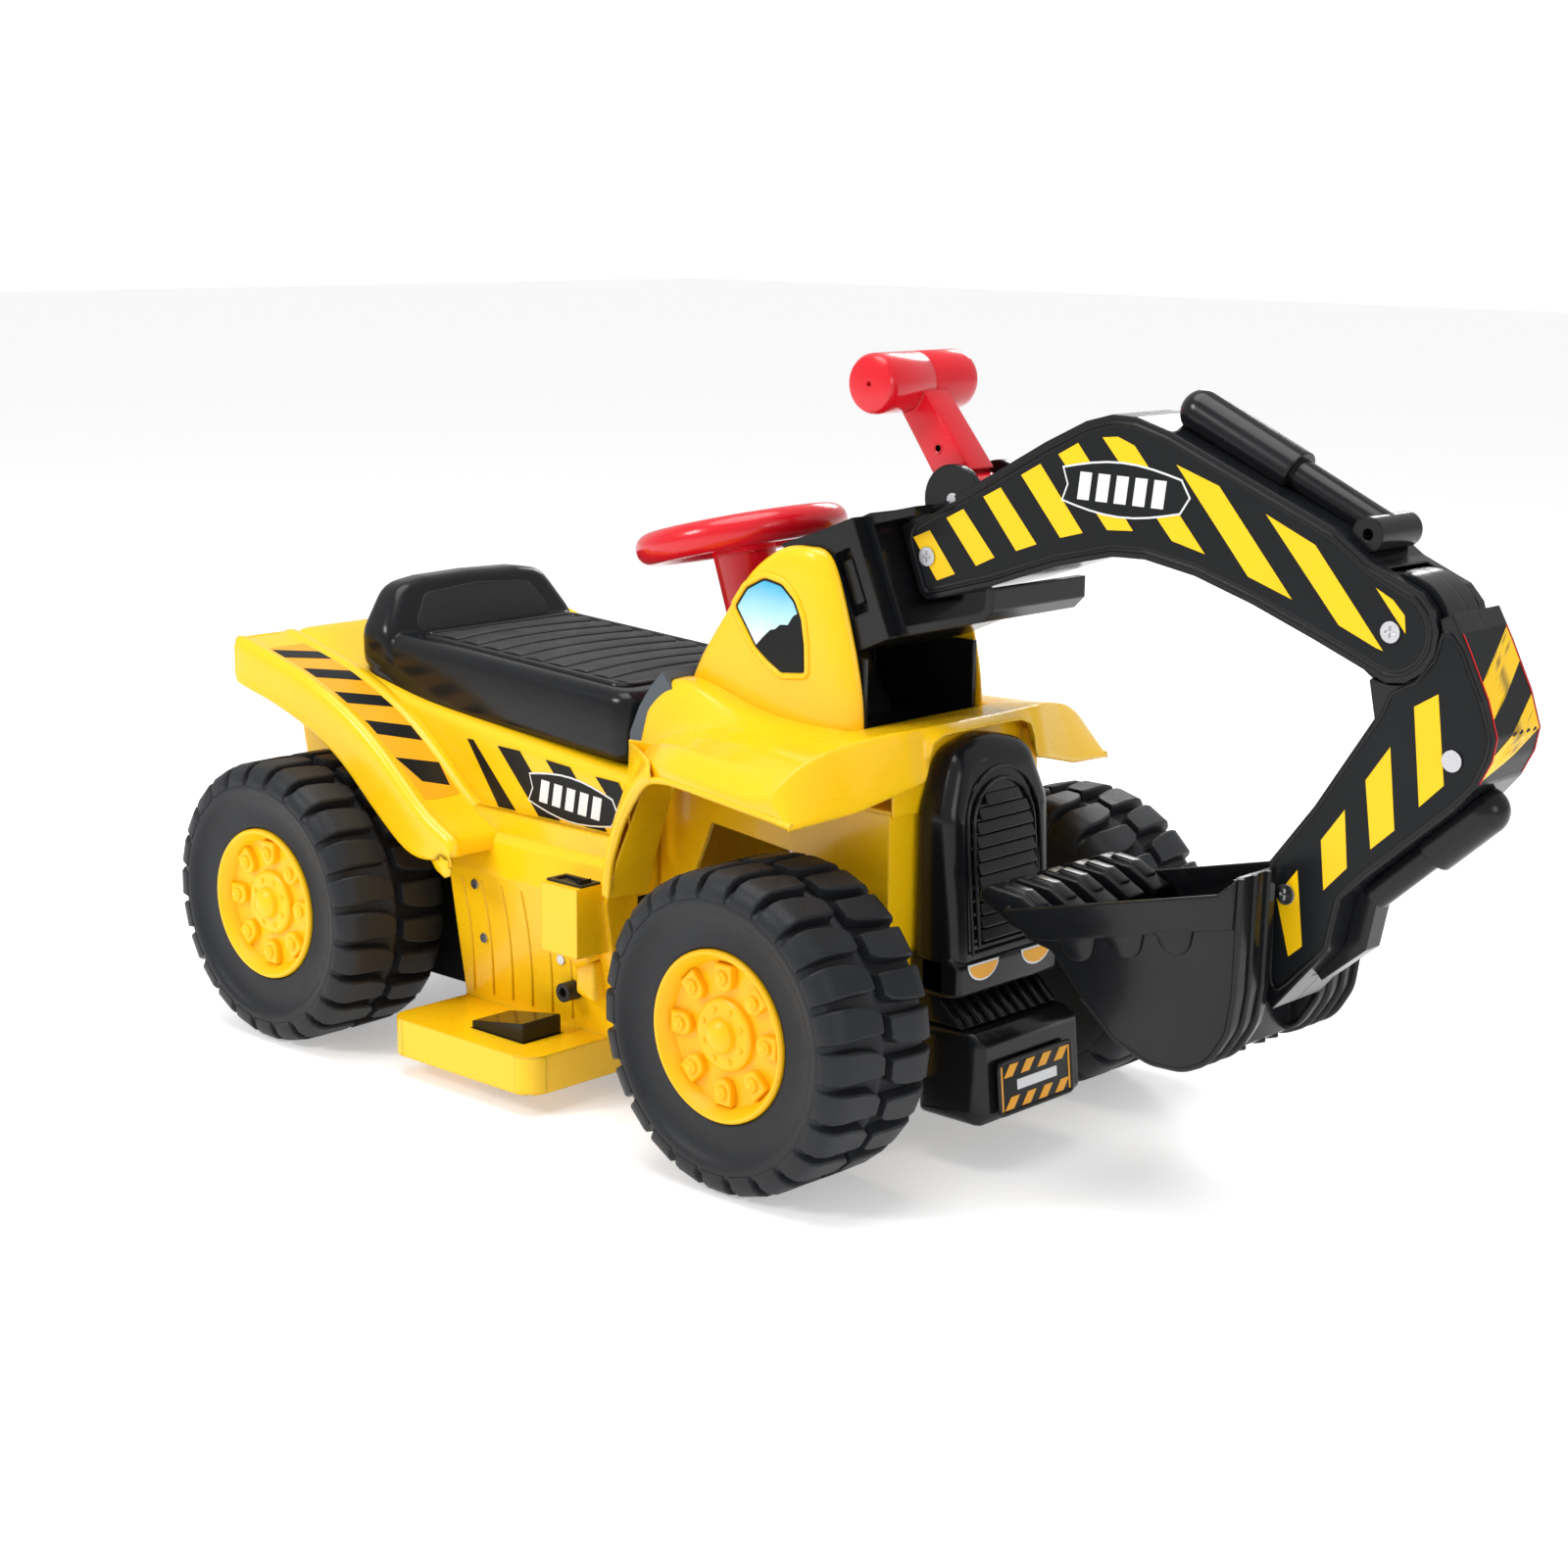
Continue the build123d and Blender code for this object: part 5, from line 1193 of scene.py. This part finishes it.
for side, middle in (("right", -24.5), ("left", 24.5)):
    moon = [(middle - 14, 120)]
    moon += [(middle - 14 * math.cos(math.radians(t)),
              120 - 11 * math.sin(math.radians(t))) for t in range(15, 180, 15)]
    moon = [(y, z - 1.5) for y, z in moon + [(middle + 14, 120)]]
    make(f"lamp_{side}_edge", plate(moon, 128.8, 129.3, 0.1, "x", steps=1), "chassis", "black_moulding",
         film_white)
    make(f"lamp_{side}", plate(moved_in(moon, 1.2), 129.1, 129.6, 0.1, "x", steps=1), "chassis",
         "black_moulding", film_amber)


# ---- boom --------------------------------------------------------------------------------------------
def along(place, direction, distance):
    turn = math.radians(direction)
    return place[0] + distance * math.cos(turn), place[1] + distance * math.sin(turn)


STICK_PIVOT = (381, 338)
BOOM = [(62, 363), (116, 391), (163, 417), (190, 430), (207, 434.5), (223, 434), (244, 428), (346, 386),
        (368, 371)]
BOOM += [along(STICK_PIVOT, turn, 26) for turn in range(80, -100, -25)]
BOOM += [(365, 318), (337, 329), (299, 343), (263, 354), (231, 359.5), (210, 359), (172, 350), (129, 335),
         (82, 322), (76, 326)]
boom_line = rounded_corners(moved_in(BOOM, 4.0), 10)
both("boom_bead", tube([(x, 25, z) for x, z in boom_line], 1.2, closed=True, flatten=0.9), "boom",
     "black_moulding")
both("boom_sticker", lid(rounded_corners(moved_in(BOOM, 6.6), 10), 24.95, 0.2), "boom", "black_moulding",
     material=film_black)
BOOM_BARS = [
    [(71, 357), (83, 362), (102, 339), (89, 334)], [(95, 370), (107, 376), (130, 351), (117, 345)],
    [(121, 384), (133, 390), (159, 361), (145, 356)], [(147, 398), (160, 405), (190, 370), (175, 366)],
    [(172, 411), (185, 418), (223, 374), (206, 373)], [(201, 422), (211, 423), (222, 419), (269, 366),
                                                       (248, 371)],
    [(249, 411), (276, 402), (323, 348), (296, 357)], [(305, 390), (335, 377), (377, 328), (373, 329),
                                                       (351, 338)],
    [(371, 359), (381, 354), (388, 347), (389, 338)],
]
both("boom_sticker_bars", joined(*[lid(bar, 25.1, 0.2) for bar in BOOM_BARS]), "boom", "black_moulding",
     material=film_yellow)
place_badges("boom_badge", (214, 395), 39, 15, -1, 25.15, "boom", "black_moulding")


# ---- T handle ----------------------------------------------------------------------------------------
LEVER_PIVOT, GRIP = (97, 380), (48, 442.5)
lean_of_lever = math.degrees(math.atan2(GRIP[1] - LEVER_PIVOT[1], GRIP[0] - LEVER_PIVOT[0]))
grip_half = [(0, 34.5), (1.4, 36), (1.6, 39.6), (12.5, 39.6), (15.6, 38.6), (17.1, 36.2), (17.4, 33),
             (17.4, 0.9), (16.9, 0.25)]
grip = lathe(grip_half + [(radius, -level) for radius, level in reversed(grip_half)], GRIP, 64, closed=False)
near, far = along(LEVER_PIVOT, lean_of_lever, 11), along(GRIP, lean_of_lever, -8)
arm = plate([along(near, lean_of_lever - 90, 13), along(far, lean_of_lever - 90, 11),
             along(far, lean_of_lever + 90, 11), along(near, lean_of_lever + 90, 13)], -11, 11, 2.4)
hub = lathe([(4.15, -11), (12.6, -11), (14, -9.6), (14, 9.6), (12.6, 11), (4.15, 11)], LEVER_PIVOT, 48)
crank = plate([(92, 361), (92, 374), (102, 374), (102, 361)], -11, 11, 1.0)
make("lever_handle", joined(grip, arm, hub, crank), "lever", "red_plastic",
     stands_for=["lever_half_left", "lever_half_right"], smooth=40)
socket_at = along(LEVER_PIVOT, lean_of_lever, 34)
dot = lathe([(0, 11.0), (2.0, 11.0), (2.9, 11.5), (3.4, 11.2), (3.4, 10), (0, 10)], socket_at, 20,
            closed=False)
make("lever_screw_boss", joined(dot, other_side(dot)), "lever", "red_plastic")


# ---- stick -------------------------------------------------------------------------------------------
STICK_BARS = [[(395, 302), (408, 310), (414, 265), (401, 252)], [(370, 261), (383, 280), (388, 238),
                                                                 (375, 226)],
              [(346, 226), (359, 244), (362, 214), (349, 200)], [(321, 192), (333, 208), (338, 168),
                                                                 (330, 161)]]
STICK_FILM = [(378, 294), (345, 243), (320, 209), (321, 139), (350, 170), (356, 199), (369, 213), (418, 257),
              (428, 268), (434, 281), (436, 291), (430, 308), (418, 332), (410, 341), (406, 326), (396, 313),
              (383, 306)]
both("stick_sticker", lid(rounded_corners(STICK_FILM, 6), 22.95, 0.2), "stick", "black_moulding",
     material=film_black)
both("stick_sticker_bars", joined(*[lid(bar, 23.1, 0.2) for bar in STICK_BARS]), "stick", "black_moulding",
     material=film_yellow)
both("stick_bead", tube([(x, 23, z) for x, z in rounded_corners(moved_in(STICK_FILM, -1.4), 6)], 1.1,
                        closed=True, flatten=0.9), "stick", "black_moulding")


def stick_front_x(z):
    return between(z, [(266, 431), (280, 438), (292, 440), (310, 434), (334, 422), (344, 416.5)])


def front_film(corners, lift):
    """A film on the stick's bent front face between four (y, z) corners, lower pair first."""
    (y0, z0), (y1, z1), (y2, z2), (y3, z3) = corners
    outer, inner, steps = [], [], 40
    for step in range(steps + 1):
        share = step / steps
        for y_low, z_low, y_high, z_high, line in ((y0, z0, y3, z3, outer), (y1, z1, y2, z2, inner)):
            y, z = y_low + (y_high - y_low) * share, z_low + (z_high - z_low) * share
            line.append((stick_front_x(z) + lift, y, z))
    verts = outer + inner + [(x - 0.4, y, z) for x, y, z in outer + inner]
    n = steps + 1
    faces = []
    for step in range(steps):
        a, b = step, step + n
        c, d = a + 2 * n, b + 2 * n
        faces += [(a, a + 1, b + 1, b), (c, d, d + 1, c + 1), (a, c, c + 1, a + 1), (b, b + 1, d + 1, d)]
    faces += [(0, n, 3 * n, 2 * n), (steps, 2 * n + steps, 3 * n + steps, n + steps)]
    return verts, faces


make("stick_front_sticker", front_film([(-21, 268), (21, 268), (21, 341), (-21, 341)], 0.15), "stick",
     "black_moulding", film_black)
front_bars = []
for low_left, high_left, low_right, high_right in ((301, 318, 324, 340), (270, 283, 292, 308)):
    slices = 6
    for index in range(slices):
        y_a, y_b = -20.5 + 41 * index / slices, -20.5 + 41 * (index + 1) / slices
        s_a, s_b = index / slices, (index + 1) / slices
        low_a, low_b = (low_left + (low_right - low_left) * s for s in (s_a, s_b))
        high_a, high_b = (high_left + (high_right - high_left) * s for s in (s_a, s_b))
        front_bars.append(front_film([(y_a, low_a), (y_b, low_b), (y_b, high_b), (y_a, high_a)], 0.4))
make("stick_front_bars", joined(*front_bars), "stick", "black_moulding", film_yellow)
red_edge = joined(*[front_film([(y, 268), (y + 0.8, 268), (y + 0.8, 341), (y, 341)], 0.45) for y in (-21.6,
                                                                                                     20.8)])
make("stick_front_edge", red_edge, "stick", "black_moulding", film_red)


# ---- bucket ------------------------------------------------------------------------------------------
TUB_BACK = [(171, 164), (189, 150), (205, 147), (226, 125), (249, 107), (271, 99), (292, 99.5), (308, 107),
            (319, 125), (322, 146), (323, 208)]
back_path = rounded_corners(TUB_BACK, [0, 5, 9, 16, 26, 26, 26, 26, 26, 26, 0], 5)
TUB_SIDE = back_path + [(310, 197.5)]


def strip(path, wall):
    """A bent sheet's outline: the path and the path again, one wall thickness to its left."""
    inner = []
    for index, here in enumerate(path):
        before, after = path[max(0, index - 1)], path[min(len(path) - 1, index + 1)]
        run = Vector((after[0] - before[0], after[1] - before[1])).normalized()
        inner.append((here[0] - run.y * wall, here[1] + run.x * wall))
    return path + inner[::-1]


middle_path = [point for point in back_path if point[0] <= 299] + [(300, 104), (300, 197)]
tub = joined(
    plate(TUB_SIDE, 59, 62, 1.2), plate(TUB_SIDE, -62, -59, 1.2),
    plate(strip(back_path, 3.0), 27, 60, 0.5), plate(strip(back_path, 3.0), -60, -27, 0.5),
    plate(strip(middle_path, 3.0), -28, 28, 0.5),
)
cheek = [(299, 104), (308, 109), (317, 126), (320, 147), (321, 205), (310, 196), (299, 193)]
tub = joined(tub, plate(cheek, 28, 31, 0.8), plate(cheek, -31, -28, 0.8))
lug_arm = plate([(298, 177), (298, 196), (316, 203), (320.5, 200), (318.5, 194), (320.5, 186.5), (316, 181)],
                -10, 10, 1.0)
lug_eye = lathe([(4.15, -10), (10, -10), (11, -9), (11, 9), (10, 10), (4.15, 10)], (327, 194), 32)
make("bucket_tub", joined(tub, lug_arm, lug_eye), "bucket", "black_moulding", stands_for=["bucket"],
     smooth=38)
side_band = [(172, 163.8), (191, 151), (205, 152.5), (292, 174.5), (321, 181), (322, 207), (310, 197.5)]
drips = []
for x, z in ((222, 157), (253, 165), (284, 173)):
    bowl = [(x - 11.5, z - 2.2)] + [(x + 1 - 10.5 * math.cos(math.radians(t)),
                                     z - 3 - 9 * math.sin(math.radians(t)))
                                    for t in range(10, 180, 17)] + [(x + 13, z + 3.8)]
    drips.append(plate(bowl, 61.5, 63.4, 0.9))
both("bucket_side_band", joined(plate(side_band, 61.5, 63.6, 0.9), *drips), "bucket", "black_moulding")
rings = []
for y in (-60.5, -48, -35.5, 35.5, 48, 60.5):
    line = [(x, y, z) for x, z in back_path if x > 226]
    rings.append(tube(line, 2.2, sides=8, flatten=0.8))
for y in (-22, -9.5, 9.5, 22):
    rings.append(tube([(x, y, z) for x, z in back_path if 226 < x <= 299], 2.2, sides=8, flatten=0.8))
make("bucket_back_bands", joined(*rings), "bucket", "black_moulding")
tooth = plate([(197, 150), (176, 153), (150.6, 165.5), (151.5, 172), (158, 174.5), (180, 172.5), (200, 162)],
              -7.4, 7.4, 1.6, corner=2, steps=3)
tooth_cap = plate([(163, 173), (166, 176), (180, 174.6), (192, 168.4), (189, 164), (170, 168)], -4.2, 4.2,
                  1.2, corner=1.5)
repeated("bucket_teeth", joined(tooth, tooth_cap), 5, "bucket", "black_moulding", start=(0, -50, 0),
         step=(0, 25, 0))


# ---- finishes of the pieces that keep their own shape -------------------------------------------------
slot_of = {row["node"]: row["material_slot"] for row in frame["record"]["subparts"]}
for node, piece in frame["nodes"].items():
    piece.data.materials.clear()
    piece.data.materials.append(finish[slot_of[node]])


# ---- camera, floor and light -------------------------------------------------------------------------
CAMERA_PLACE = (1.0714, -1.213, 0.546)
CAMERA_ANGLES = (42.45, 12.18, 0.64)
FRAME_WIDTH = 1600


def make_camera():
    """The camera, by its turn from straight ahead along +Y, its tip downwards and its roll, in degrees."""
    azimuth, pitch, roll = (math.radians(angle) for angle in CAMERA_ANGLES)
    ahead = Vector((-math.sin(azimuth) * math.cos(pitch), math.cos(azimuth) * math.cos(pitch),
                    -math.sin(pitch)))
    right = Vector((math.cos(azimuth), math.sin(azimuth), 0))
    up = right.cross(ahead)
    right, up = right * math.cos(roll) + up * math.sin(roll), up * math.cos(roll) - right * math.sin(roll)
    data = bpy.data.cameras.new("camera")
    data.lens, data.sensor_width = 62.93, 36.0
    data.shift_x, data.shift_y = -15 / FRAME_WIDTH, 3 / FRAME_WIDTH
    camera = placed("camera", data)
    turn = Matrix((right, up, -ahead)).transposed().to_4x4()
    camera.matrix_world = Matrix.Translation(CAMERA_PLACE) @ turn
    bpy.context.scene.camera = camera


def make_floor():
    size = 12.0
    mesh = bpy.data.meshes.new("floor")
    mesh.from_pydata([(-size, -size, 0), (size, -size, 0), (size, size, 0), (-size, size, 0)], [],
                     [(0, 1, 2, 3)])
    floor = placed("floor", mesh)
    material, _, shader = empty_material("pale_floor")
    set_inputs(shader, Base_Color=(0.90, 0.90, 0.905, 1), Roughness=0.55, Specular_IOR_Level=0.2,
               Emission_Color=(1, 1, 1, 1), Emission_Strength=0.38)
    mesh.materials.append(material)


def soft_light(name, place, target, size, power):
    data = bpy.data.lights.new(name, "AREA")
    data.shape, data.size, data.energy = "DISK", size, power
    aim = (Vector(target) - Vector(place)).to_track_quat("-Z", "Y").to_matrix().to_4x4()
    placed(name, data).matrix_world = Matrix.Translation(place) @ aim


make_camera()
make_floor()
soft_light("overhead", (-0.2, -0.2, 2.3), (0, 0, 0.2), 1.7, 30)
soft_light("key", (-1.1, -2.3, 1.9), (0, 0, 0.2), 0.8, 30)
soft_light("fill", (2.6, -0.6, 1.0), (0.1, 0, 0.2), 1.0, 10)
soft_light("rim", (-1.0, 2.2, 1.4), (0, 0, 0.3), 0.8, 12)


def make_surroundings(seen, felt):
    """A white room: one strength for what the camera sees, another for the light that it gives."""
    world = bpy.data.worlds.new("studio")
    world.use_nodes = True
    tree = world.node_tree
    room = tree.nodes["Background"]
    backdrop = tree.nodes.new("ShaderNodeBackground")
    for node, strength in ((room, felt), (backdrop, seen)):
        node.inputs["Color"].default_value = (1.0, 1.0, 1.0, 1)
        node.inputs["Strength"].default_value = strength
    choice = tree.nodes.new("ShaderNodeMixShader")
    tree.links.new(tree.nodes.new("ShaderNodeLightPath").outputs["Is Camera Ray"], choice.inputs[0])
    for place, node in ((1, room), (2, backdrop)):
        tree.links.new(node.outputs[0], choice.inputs[place])
    tree.links.new(choice.outputs[0], tree.nodes["World Output"].inputs["Surface"])
    return world


bpy.context.scene.world = make_surroundings(1.05, 0.62)
bpy.context.scene.view_settings.view_transform = "Standard"
